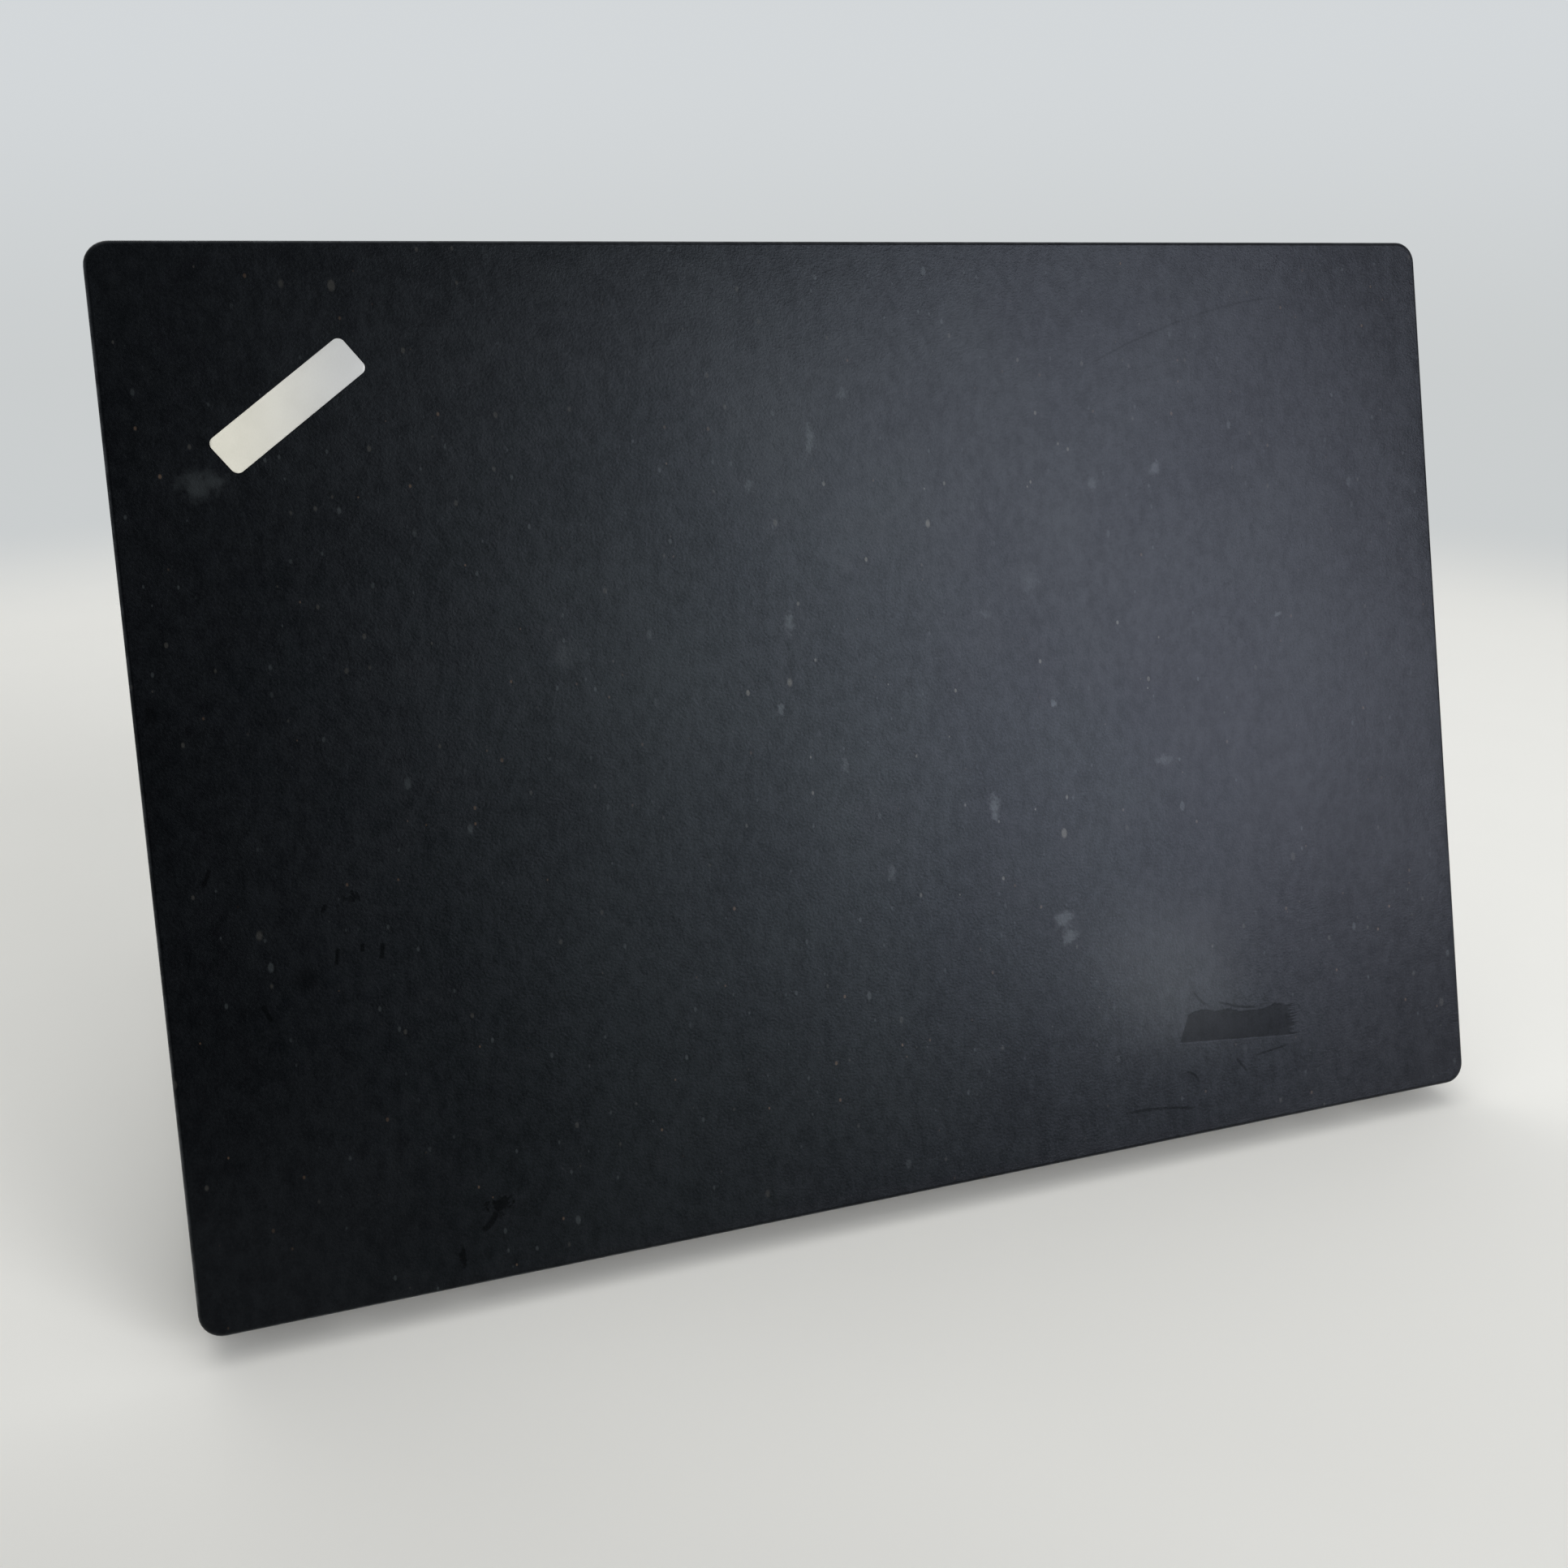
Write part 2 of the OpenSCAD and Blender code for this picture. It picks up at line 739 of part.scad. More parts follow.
// Sideways cutter with a rounded mouth, at +X
module mouth(u, w, h, z) {
    translate([body_w / 2 - case_wall - cut, -u, z]) rotate([90, 0, 90])
        linear_extrude(case_wall + 2 * cut) round_rect(w, h, min(w, h) / 2 - 0.01);
}

module side_openings() {
    socket_rect(usb_a_u, usb_a_w, usb_a_h);
    mirror([1, 0, 0]) socket_rect(usb_a_u, usb_a_w, usb_a_h);
    mirror([1, 0, 0]) socket_rect(hdmi_u, hdmi_w, hdmi_h);
    for (u = usb_c_u)
        mirror([1, 0, 0]) mouth(u, usb_c_w + 2 * (shell_t + port_play), usb_c_h + 2 * (shell_t + port_play),
            port_z);
    translate([-body_w / 2 - cut, -jack_u, port_z]) rotate([0, 90, 0])
        cylinder(r = collar_r + port_play, h = case_wall + 2 * cut);
    mouth(lock_u, lock_w, lock_h, port_z);
    slots = floor((fin_d - 2) / vent_pitch);
    for (i = [0:slots - 1])
        block(body_w / 2 - case_wall - cut, body_w / 2 + cut, fan_u - fin_d / 2 + 1 + i * vent_pitch,
            fan_u - fin_d / 2 + 1 + i * vent_pitch + vent_w, split_z + 0.6, deck_z - 1.2);
}

// Rectangular cut-out for a socket's shell, at +X
module socket_rect(u, w, h) {
    m = shell_t + port_play;
    block(body_w / 2 - case_wall - cut, body_w / 2 + cut, u - w / 2 - m, u + w / 2 + m,
        port_z - h / 2 - m, port_z + h / 2 + m);
}

// Notch for barrel and knuckle, and the slot that the leaf passes through
module hinge_cut() {
    block(zone_in, zone_out, -nose_r - cut, zone_clear, split_z - cut, top_z + cut);
    block(barrel_x - 0.2, barrel_x + leaf_w + 0.2, zone_clear - cut, inner_back + cut,
        axis_z - leaf_t / 2 - 0.2, axis_z + leaf_t / 2);
}

module base_cover() {
    color("#1c1d20") from_axis() {
        difference() {
            edged_slab(body_w, base_back, lid_len, base_z, split_z, 0.2, cover_chamfer, cover_rim_h - 0.3);
            cover_pocket();
            cover_vents();
            at_cover_screws() cover_hole();
            for (s = [-1, 1], u = [front_foot_u, rear_foot_u])
                foot_shape(s * foot_x, u, foot_seat + cut, base_z - cut);
        }
        for (x = [-board_left + 12, -12, board_right - 10], u = [board_back + 5, board_front - 5])
            translate([x, -u, floor_z]) cylinder(r = boss_r, h = standoff);
    }
}

module cover_pocket() {
    lip = cover_chamfer + 1;
    difference() {
        block(-body_w / 2 + lip, body_w / 2 - lip, base_back + lip, lid_len - lip, floor_z, split_z + cut);
        for (s = [-1, 1], x = rear_screws)
            translate([s * x, -rear_screw_u, base_z]) cylinder(r = boss_r, h = cover_t);
    }
}

module cover_hole() {
    translate([0, 0, base_z - cut]) {
        cylinder(r = cover_screw_r + 0.15, h = cover_t + 2 * cut);
        cylinder(r = cover_head_r + 0.15, h = cut + cover_head_t);
    }
}

// Intake slots under the fan and sound slots under the speakers
module cover_vents() {
    intake = fan_size - 10;
    count = floor(intake / vent_pitch);
    for (i = [0:count - 1])
        vent_slot(fan_x - (intake - vent_w) / 2 + i * vent_pitch, fan_u, intake);
    for (s = [-1, 1], i = [0:7])
        vent_slot(s * (speaker_x + 6 + i * vent_pitch), speaker_u + 15, 12);
}

// Slot through the bottom cover, this long front to back
module vent_slot(x, u, length) {
    round_block(x - vent_w / 2, x + vent_w / 2, u - length / 2, u + length / 2, base_z - cut,
        floor_z + cut, vent_w / 2 - 0.01);
}

module foot_shape(x, u, h, z) {
    translate([x, -u, z]) linear_extrude(h) round_rect(foot_long, foot_wide, foot_wide / 2 - 0.01);
}

module rubber_feet() {
    color("#0c0c0d") from_axis()
        for (s = [-1, 1], u = [front_foot_u, rear_foot_u])
            foot_shape(s * foot_x, u, base_z + foot_seat, 0);
}

module base_screws() {
    color("#3b3d40") from_axis() at_cover_screws() translate([0, 0, base_z]) {
        cylinder(r = cover_head_r, h = cover_head_t);
        cylinder(r = cover_screw_r - 0.1, h = cover_t + cover_screw_len - 0.5);
    }
}

// ---- Keyboard ----

// Opening or keycap outline of one key, shrunk by a margin all round
module key_outline(row, i, margin) {
    units = all_rows[row];
    w = units[i] * pitch_x;
    translate([(start(units, i) - key_columns / 2) * pitch_x + w / 2, -row_u(row) - row_d(row) / 2])
        soft_rect(w - key_web - 2 * margin, row_d(row) - key_web - 2 * margin, key_r);
}

// Half-height keys at the end of the bottom row: column 0 to 2, upper or lower
module arrow_outline(column, half, margin) {
    w = pitch_x;
    d = pitch_y / 2;
    translate([(arrow_first + column - key_columns / 2 + 0.5) * w, -row_u(5) - d * (half + 0.5)])
        soft_rect(w - key_web - 2 * margin, d - key_web / 2 - 2 * margin, key_r);
}

module keyboard_frame() {
    color("#1a1b1d") from_axis() {
        translate([0, 0, top_z - 0.5 - frame_t]) linear_extrude(frame_t) difference() {
            frame_outline();
            difference() {
                union() {
                    for (row = [0:5], i = [0:len(all_rows[row]) - 1])
                        key_outline(row, i, 0);
                    for (column = [0:2], half = [0, 1])
                        arrow_outline(column, half, 0);
                }
                translate([stick_x, -stick_u]) circle(stick_r + trim_gap + stick_collar);
            }
            translate([stick_x, -stick_u]) circle(stick_r + trim_gap);
        }
        translate([0, 0, plate_z + plate_t]) linear_extrude(top_z - 0.5 - frame_t - plate_z - plate_t)
            difference() {
                frame_outline();
                translate([0, -keys_u - frame_d / 2 + frame_edge])
                    square([frame_w - 2 * frame_edge + 1, frame_d - 2 * frame_edge + 1], center = true);
            }
    }
}

module frame_outline() {
    translate([0, -keys_u - frame_d / 2 + frame_edge]) square([frame_w, frame_d], center = true);
}

// Steel plate under the keys, with a round hole under each letter key's dome
module keyboard_plate() {
    lip_x = frame_w / 2 + frame_play + plate_lip;
    color("#6f7276") from_axis() difference() {
        block(-lip_x, lip_x, kb_back - plate_lip, kb_front + plate_lip, plate_z, plate_z + plate_t);
        for (row = [1:4], column = [1:12])
            translate([(column + 0.5 - key_columns / 2) * pitch_x, -row_u(row) - pitch_y / 2, plate_z - cut])
                cylinder(r = 2, h = plate_t + 2 * cut);
    }
}

// Keycap body: outline extruded, sides sloped in, top hollowed along the key
module key_cap(x, u, w, d, hollow) {
    sag_r = (w * w / 4 + dish * dish) / (2 * dish);
    translate([x, -u, cap_z]) difference() {
        intersection() {
            linear_extrude(cap_h) round_rect(w, d, key_r);
            rotate([90, 0, 0]) linear_extrude(d + cut, center = true) slope_profile(w);
            rotate([90, 0, 90]) linear_extrude(w + cut, center = true) slope_profile(d);
        }
        if (hollow)
            translate([0, 0, cap_h + sag_r - dish]) rotate([90, 0, 0])
                cylinder(r = sag_r, h = d + cut, center = true, $fn = 480);
    }
}

module slope_profile(w) {
    polygon([[-w / 2, 0], [w / 2, 0], [w / 2 - cap_draft, cap_h], [-w / 2 + cap_draft, cap_h]]);
}

module keys(row, first, last) {
    units = all_rows[row];
    for (i = [first:last])
        key_cap((start(units, i) + units[i] / 2 - key_columns / 2) * pitch_x, row_u(row) + row_d(row) / 2,
            units[i] * pitch_x - key_web - 2 * key_gap, row_d(row) - key_web - 2 * key_gap, units[i] < 2);
}

// Space round the pointing stick that the three keys beside it leave free
module stick_space() {
    translate([stick_x, -stick_u, cap_z - cut])
        cylinder(r = stick_r + 2 * trim_gap + stick_collar, h = cap_h + 2 * cut);
}

module function_keys() {
    color("#232427") from_axis() keys(0, 0, 16);
}

module number_keys() {
    color("#232427") from_axis() keys(1, 0, 12);
}

module upper_keys() {
    color("#232427") from_axis() keys(2, 0, 13);
}

module home_keys() {
    color("#232427") from_axis() difference() {
        keys(3, 0, 11);
        stick_space();
    }
}

module lower_keys() {
    color("#232427") from_axis() difference() {
        keys(4, 1, 10);
        stick_space();
    }
}

module bottom_keys() {
    color("#232427") from_axis() {
        keys(5, 0, 3);
        keys(5, 5, 7);
    }
}

module space_bar() {
    color("#232427") from_axis() keys(5, 4, 4);
}

module enter_key() {
    color("#232427") from_axis() keys(3, 12, 12);
}

module backspace_key() {
    color("#232427") from_axis() keys(1, 13, 13);
}

module shift_keys() {
    color("#232427") from_axis() {
        keys(4, 0, 0);
        keys(4, 11, 11);
    }
}

module arrow_keys() {
    color("#232427") from_axis()
        for (column = [0:2], half = [0, 1])
            key_cap((arrow_first + column - key_columns / 2 + 0.5) * pitch_x,
                row_u(5) + pitch_y / 2 * (half + 0.5), pitch_x - key_web - 2 * key_gap,
                pitch_y / 2 - key_web / 2 - 2 * key_gap, true);
}

module pointing_stick() {
    stem_r = 1.6;
    cap_low = cap_z + 0.4;
    color("#2f3033") from_axis() translate([stick_x, -stick_u, 0]) {
        translate([0, 0, plate_z + plate_t]) cylinder(r = stem_r, h = cap_low - plate_z - plate_t);
        translate([0, 0, cap_low]) rotate_extrude() union() {
            square([stick_r, top_z + stick_rise - cap_low - 0.8]);
            square([stick_r - 0.8, top_z + stick_rise - cap_low]);
            translate([stick_r - 0.8, top_z + stick_rise - cap_low - 0.8]) circle(0.8);
        }
    }
}

// ---- Pointer and buttons ----

module pointer_button(x, w) {
    round_block(x - w / 2, x + w / 2, button_u, button_u + button_d, pad_top - pad_t, pad_top + 0.3, 0.8);
}

module pointer_button_middle() {
    color("#1e1f22") from_axis() pointer_button(0, mid_button_w);
}

module pointer_button_left() {
    color("#1e1f22") from_axis() pointer_button(-(pad_w - side_button_w) / 2, side_button_w);
}

module pointer_button_right() {
    color("#1e1f22") from_axis() pointer_button((pad_w - side_button_w) / 2, side_button_w);
}

module touchpad() {
    color("#1b1c1e") from_axis()
        round_block(-pad_w / 2, pad_w / 2, pad_u, pad_u + pad_d, pad_top - pad_t, pad_top, 1.2);
}

// Sheet under touchpad and buttons, hung from the deck by its two side flanges
module touchpad_bracket() {
    edge_x = pad_open_w / 2 + bracket_lip;
    color("#7d8084") from_axis() {
        block(-edge_x, edge_x, pad_open_u, pad_open_u + pad_open_d, bracket_z, bracket_z + bracket_t);
        mirrored() block(edge_x - 2, edge_x, pad_open_u, pad_open_u + pad_open_d, bracket_z, deck_z);
    }
}

module power_button() {
    color("#2a2b2e") from_axis()
        round_block(power_x - power_w / 2, power_x + power_w / 2, power_u, power_u + power_d,
            deck_z + 0.2, top_z + 0.1, 1.2);
}

// ---- Inner parts of the base ----

module system_board() {
    color("#1f4d3a") from_axis() translate([0, 0, board_z]) linear_extrude(board_t) polygon([
        [-board_left, -board_back], [board_right, -board_back], [board_right, -board_front],
        [-arm_left + arm_w, -board_front], [-arm_left + arm_w, -arm_front], [-arm_left, -arm_front],
        [-arm_left, -kb_front], [-board_left, -kb_front]
    ]);
}

// Box centred at x and u
module slab(x, u, w, d, z0, z1) {
    block(x - w / 2, x + w / 2, u - d / 2, u + d / 2, z0, z1);
}

// Package and, on top of it, the bare die
module processor() {
    die_w = 18;
    die_d = 12;
    die_z = chip_z + package_t;
    color("#3c4046") from_axis() {
        slab(cpu_x, cpu_u, package_w, package_d, chip_z, die_z);
        slab(cpu_x, cpu_u, die_w, die_d, die_z, die_z + die_t);
    }
}

// Four chips in a column beside the processor
module memory_chips() {
    chip_w = 12;
    chip_d = 11;
    chip_h = 1;
    step = 14;
    x = cpu_x - package_w / 2 - 33;
    color("#25272a") from_axis()
        for (i = [0:3]) slab(x, cpu_u + (i - 1.5) * step, chip_w, chip_d, chip_z, chip_z + chip_h);
}

// Cold plate on the processor and the flat pipe to the fins
module heat_pipe() {
    plate_w = 32;
    plate_d = 28;
    half = pipe_w / 2;
    cold_u = cpu_u - 6;
    path = [
        [cpu_x - 12, cold_u], [cpu_x + 26, cold_u], [board_right - 6, pipe_u], [fin_x + fin_w, pipe_u]
    ];
    color("#b8683c") from_axis() {
        slab(cpu_x, cpu_u, plate_w, plate_d, pipe_z - cold_plate_t, pipe_z);
        translate([0, 0, pipe_z]) linear_extrude(pipe_t) polygon(concat(
            [for (i = [0:3]) [path[i][0], -path[i][1] - half]],
            [for (i = [3:-1:0]) [path[i][0], -path[i][1] + half]]
        ));
    }
}

// Comb of thin fins under a cover sheet that is soldered to the pipe
module fin_stack() {
    fin_t = 0.4;
    sheet_t = 0.2;
    count = floor(fin_d / fin_pitch);
    sheet_z = pipe_z + pipe_t;
    color("#a9acb0") from_axis() {
        block(fin_x, fin_x + fin_w, pipe_u - pipe_w / 2, fan_u + fin_d / 2, sheet_z, sheet_z + sheet_t);
        for (i = [0:count - 1])
            block(fin_x, fin_x + fin_w, fan_u - fin_d / 2 + i * fin_pitch + pipe_clear,
                fan_u - fin_d / 2 + i * fin_pitch + pipe_clear + fin_t, fan_z, sheet_z);
    }
}

// Open frame with a spindle: bottom inlet, top sheet, outlet towards the fins
module fan_housing() {
    half = fan_size / 2;
    room_h = fan_t - 1.5 * fan_wall;
    inlet_r = half - 8;
    side_wall = 5;
    spoke_w = 3;
    spoke_t = fan_wall - 0.2;
    color("#2b2d30") from_axis() translate([fan_x, -fan_u, fan_z]) {
        difference() {
            linear_extrude(fan_t) round_rect(fan_size, fan_size, 4);
            translate([0, 0, fan_wall]) cylinder(r = half - 1.5, h = room_h);
            translate([0, 0, -cut]) cylinder(r = inlet_r, h = fan_t);
            translate([0, side_wall - half, fan_wall]) cube([half + cut, fan_size - 2 * side_wall, room_h]);
        }
        for (a = [45:90:315]) rotate([0, 0, a])
            translate([0, -spoke_w / 2, 0]) cube([inlet_r + 3, spoke_w, spoke_t]);
        cylinder(r = hub_r - 1, h = spoke_t);
        cylinder(r = spindle_r, h = fan_t - 0.7);
    }
}

// One blade, bowed backwards, from inside the hub to the rim
module blade() {
    blade_w = 0.6;
    sweep = 50;
    bow_r = (rotor_r - hub_r + 1.5) / (2 * sin(sweep / 2));
    arc = [for (i = [0:4]) sweep * i / 4];
    translate([hub_r - 1.5, bow_r]) polygon(concat(
        [for (a = arc) [bow_r * sin(a), -bow_r * cos(a)]],
        [for (i = [4:-1:0]) [(bow_r - blade_w) * sin(arc[i]), -(bow_r - blade_w) * cos(arc[i])]]
    ));
}

module fan_rotor() {
    blade_h = fan_t - 1.5 * fan_wall - 0.7;
    color("#17181a") from_axis() translate([fan_x, -fan_u, fan_z + fan_wall]) linear_extrude(blade_h)
        difference() {
            union() {
                circle(hub_r);
                for (i = [0:fan_blades - 1]) rotate(i * 360 / fan_blades) blade();
            }
            circle(spindle_r + 0.05);
        }
}

// Plug-in card: board held off the main board by its slot, chips as [x, length] along it
module card(x, length, slot_h, chips) {
    slot_w = 5;
    far = card_front - card_d;
    low = chip_z + card_lift;
    high = low + card_t;
    block(x, x + length, far, card_front, low, high);
    block(x - slot_w, x, far, card_front, chip_z, chip_z + slot_h);
    for (chip = chips)
        block(x + chip[0], x + chip[0] + chip[1], far + 2, card_front - 4, high, chip_z + slot_h);
}

module ssd() {
    x = cpu_x - 66;
    length = 80;
    post = 4;
    middle = card_front - card_d / 2;
    color("#1d2c52") from_axis() {
        card(x, length, 1.9, [[12, 16], [34, 16], [56, 16]]);
        slab(x + length - post / 2, middle, post, post, chip_z, chip_z + card_lift);
    }
}

module wireless_card() {
    color("#28603f") from_axis() card(cpu_x - 112, 30, 1.8, [[6, 20]]);
}

module coin_cell() {
    color("#b9bcc0") from_axis() translate([-board_left + coin_r + 2, -board_front + 20, chip_z])
        cylinder(r = coin_r, h = 1.6);
}

// Frame with four flat cells
module battery_pack() {
    web = 2;
    rise = 1;
    cell = (battery_w - 5 * web) / 4;
    left = -battery_w / 2;
    top = floor_z + battery_t;
    color("#26282b") from_axis() {
        round_block(left, -left, battery_u, battery_u + battery_d, floor_z, top - rise, 2);
        for (x = [0:3])
            round_block(left + web + x * (cell + web), left + (x + 1) * (cell + web),
                battery_u + 3 * web, battery_u + battery_d - web, top - rise, top, 2);
    }
}

module speakers() {
    color("#1a1b1d") from_axis() mirrored()
        round_block(speaker_x, speaker_x + speaker_w, speaker_u, speaker_u + speaker_d,
            floor_z, floor_z + speaker_t, 2);
}

// Small board that carries the sockets of the right side, low on the cover
module io_board() {
    color("#1f4d3a") from_axis()
        block(arm_left - arm_w, arm_left, board_front - 26, arm_front, floor_z, floor_z + board_t);
}

// ---- Sockets ----

// Shell and tongue of a socket whose mouth is at +X
module shell(u, w, h, depth, tip, tongue_t, tongue_z) {
    front = socket_side;
    difference() {
        block(front - depth, front, u - w / 2 - shell_t, u + w / 2 + shell_t, port_z - h / 2 - shell_t,
            port_z + h / 2 + shell_t);
        block(front - depth + 1, front + cut, u - w / 2, u + w / 2, port_z - h / 2, port_z + h / 2);
    }
    block(front - depth + 0.5, front - tip, u - w / 2 + 1.2, u + w / 2 - 1.2,
        port_z + tongue_z, port_z + tongue_z + tongue_t);
}

module usb_a_ports() {
    color("#a6a8ab") from_axis() mirrored()
        shell(usb_a_u, usb_a_w, usb_a_h, usb_a_depth, usb_a_tip, 1.8, 0.4);
}

module hdmi_port() {
    color("#a6a8ab") from_axis() mirror([1, 0, 0])
        shell(hdmi_u, hdmi_w, hdmi_h, port_depth, hdmi_tip, 1.1, 0.5);
}

module usb_c_ports() {
    depth = 8;
    color("#a6a8ab") from_axis() mirror([1, 0, 0])
        for (u = usb_c_u) translate([socket_side - depth, -u, port_z]) rotate([90, 0, 90]) {
            difference() {
                linear_extrude(depth) round_rect(usb_c_w + 2 * shell_t, usb_c_h + 2 * shell_t,
                    usb_c_h / 2 + shell_t - 0.01);
                translate([0, 0, 1]) linear_extrude(depth) round_rect(usb_c_w, usb_c_h, usb_c_h / 2 - 0.01);
            }
            translate([-usb_c_w / 2 + 0.8, -0.35, 0.5]) cube([usb_c_w - 1.6, 0.7, depth - 1.2]);
        }
}

module audio_jack() {
    wall = 1;
    body_side = 6.4;
    body_h = 5.4;
    start = case_wall - 0.6;
    color("#141416") from_axis() translate([-socket_side, -jack_u, port_z]) difference() {
        union() {
            rotate([0, 90, 0]) cylinder(r = collar_r, h = case_wall + 0.6);
            translate([start, -body_side / 2, -body_h / 2])
                cube([jack_depth + wall + 0.1 - start, body_side, body_h]);
        }
        translate([-cut, 0, 0]) rotate([0, 90, 0]) cylinder(r = jack_r, h = jack_depth + cut);
    }
}

lid_cover();
lid_badge();
display_bezel();
lcd_panel();
lcd_driver_board();
camera_module();
camera_shutter();
antennas();
display_cable();
lid_bumpers();
hinge_lid_leaf_left();
hinge_lid_leaf_right();
hinge_pin_left();
hinge_pin_right();
hinge_washers();
lid_hinge_screws();
top_case();
base_cover();
keyboard_frame();
keyboard_plate();
function_keys();
number_keys();
upper_keys();
home_keys();
lower_keys();
bottom_keys();
arrow_keys();
space_bar();
enter_key();
backspace_key();
shift_keys();
pointing_stick();
pointer_button_left();
pointer_button_middle();
pointer_button_right();
touchpad();
touchpad_bracket();
power_button();
hinge_base_leaf_left();
hinge_base_leaf_right();
base_hinge_screws();
system_board();
processor();
memory_chips();
heat_pipe();
fin_stack();
fan_housing();
fan_rotor();
ssd();
wireless_card();
coin_cell();
battery_pack();
speakers();
io_board();
usb_c_ports();
usb_a_ports();
hdmi_port();
audio_jack();
base_screws();
rubber_feet();
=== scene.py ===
"""Looks of a thin black clamshell laptop computer, seen from behind its open lid.

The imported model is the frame, and every piece keeps the shape it has there. This script
gives each piece its surface, prints the keys, adds the small parts that only show close
up, and sets the floor, the light and the camera.

Names that end in _mm hold millimetres. Places on the closed machine are given by "x"
across, "u" the distance in front of the hinge axis, and "v" the height above the axis.
"""

import math

import bmesh
import bpy
from mathutils import Matrix, Vector
from mathutils.bvhtree import BVHTree


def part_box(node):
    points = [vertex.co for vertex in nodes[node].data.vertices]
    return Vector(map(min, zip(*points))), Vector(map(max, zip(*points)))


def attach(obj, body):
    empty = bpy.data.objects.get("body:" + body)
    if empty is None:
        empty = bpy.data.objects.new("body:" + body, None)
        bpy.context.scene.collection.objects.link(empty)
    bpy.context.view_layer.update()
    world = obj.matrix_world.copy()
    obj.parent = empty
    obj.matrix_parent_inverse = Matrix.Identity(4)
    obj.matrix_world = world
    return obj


MM = 0.001

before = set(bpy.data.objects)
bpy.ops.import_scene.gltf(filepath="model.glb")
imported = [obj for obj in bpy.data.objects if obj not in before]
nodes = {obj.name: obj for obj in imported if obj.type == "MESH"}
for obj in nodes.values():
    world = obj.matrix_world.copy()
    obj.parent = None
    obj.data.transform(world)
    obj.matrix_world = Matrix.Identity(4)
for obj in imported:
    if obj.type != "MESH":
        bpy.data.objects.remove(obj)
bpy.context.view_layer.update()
scene = bpy.context.scene

# ---- Where the lid is ----

LID_OPEN = math.radians(75)
pin_low, pin_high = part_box("hinge_pin_left")
AXIS = (pin_low + pin_high) / 2
AXIS.x = 0.0
# The lid's outline and faces in mm, on the closed machine
LID_SIDE_X = 156.0
LID_FAR_U = 212.4
LID_NEAR_U = -4.6
LID_BACK_V = 7.8
LID_FACE_V = 2.8
OPENING = Matrix.Translation(AXIS) @ Matrix.Rotation(-LID_OPEN, 4, "X")


def on_lid(x_mm, u_mm, v_mm):
    """A point of the open lid, from its place on the closed one."""
    return OPENING @ (Vector((x_mm, -u_mm, v_mm)) * MM)


# ---- Materials ----


class Graph:
    """A shader node tree. Its sockets take numbers, colours or another node's output."""

    def __init__(self, tree):
        self.tree = tree

    def feed(self, socket, value):
        if isinstance(value, bpy.types.NodeSocket):
            self.tree.links.new(value, socket)
        else:
            socket.default_value = value

    def node(self, kind, inputs=None, **settings):
        made = self.tree.nodes.new(kind)
        for key, value in settings.items():
            setattr(made, key, value)
        for key, value in (inputs or {}).items():
            self.feed(made.inputs[key], value)
        return made

    def math(self, operation, *values):
        made = self.node("ShaderNodeMath", operation=operation)
        for socket, value in zip(made.inputs, values):
            self.feed(socket, value)
        return made.outputs[0]

    def ramp(self, value, low, high, to_low=0.0, to_high=1.0):
        """Value taken smoothly from low..high to to_low..to_high, and held outside."""
        return self.node(
            "ShaderNodeMapRange",
            {
                "Value": value, "From Min": low, "From Max": high,
                "To Min": to_low, "To Max": to_high,
            },
            interpolation_type="SMOOTHSTEP",
        ).outputs[0]

    def mix(self, factor, first, second):
        """Colour that goes from first to second as factor goes from 0 to 1."""
        made = self.node("ShaderNodeMix", {"Factor": factor}, data_type="RGBA")
        for index, color in ((6, first), (7, second)):
            self.feed(made.inputs[index], (*color, 1.0) if isinstance(color, tuple) else color)
        return made.outputs[2]

    def parts(self, vector):
        """The x, y and z of a vector."""
        return self.node("ShaderNodeSeparateXYZ", {"Vector": vector}).outputs

    def length(self, vector):
        return self.node("ShaderNodeVectorMath", {0: vector}, operation="LENGTH").outputs["Value"]

    def blend(self, factor, first, second, output):
        """Joins two shaders and leads them to the output node's surface."""
        made = self.node("ShaderNodeMixShader")
        for socket, value in zip(made.inputs, (factor, first, second)):
            self.feed(socket, value)
        self.feed(self.tree.nodes[output].inputs["Surface"], made.outputs[0])


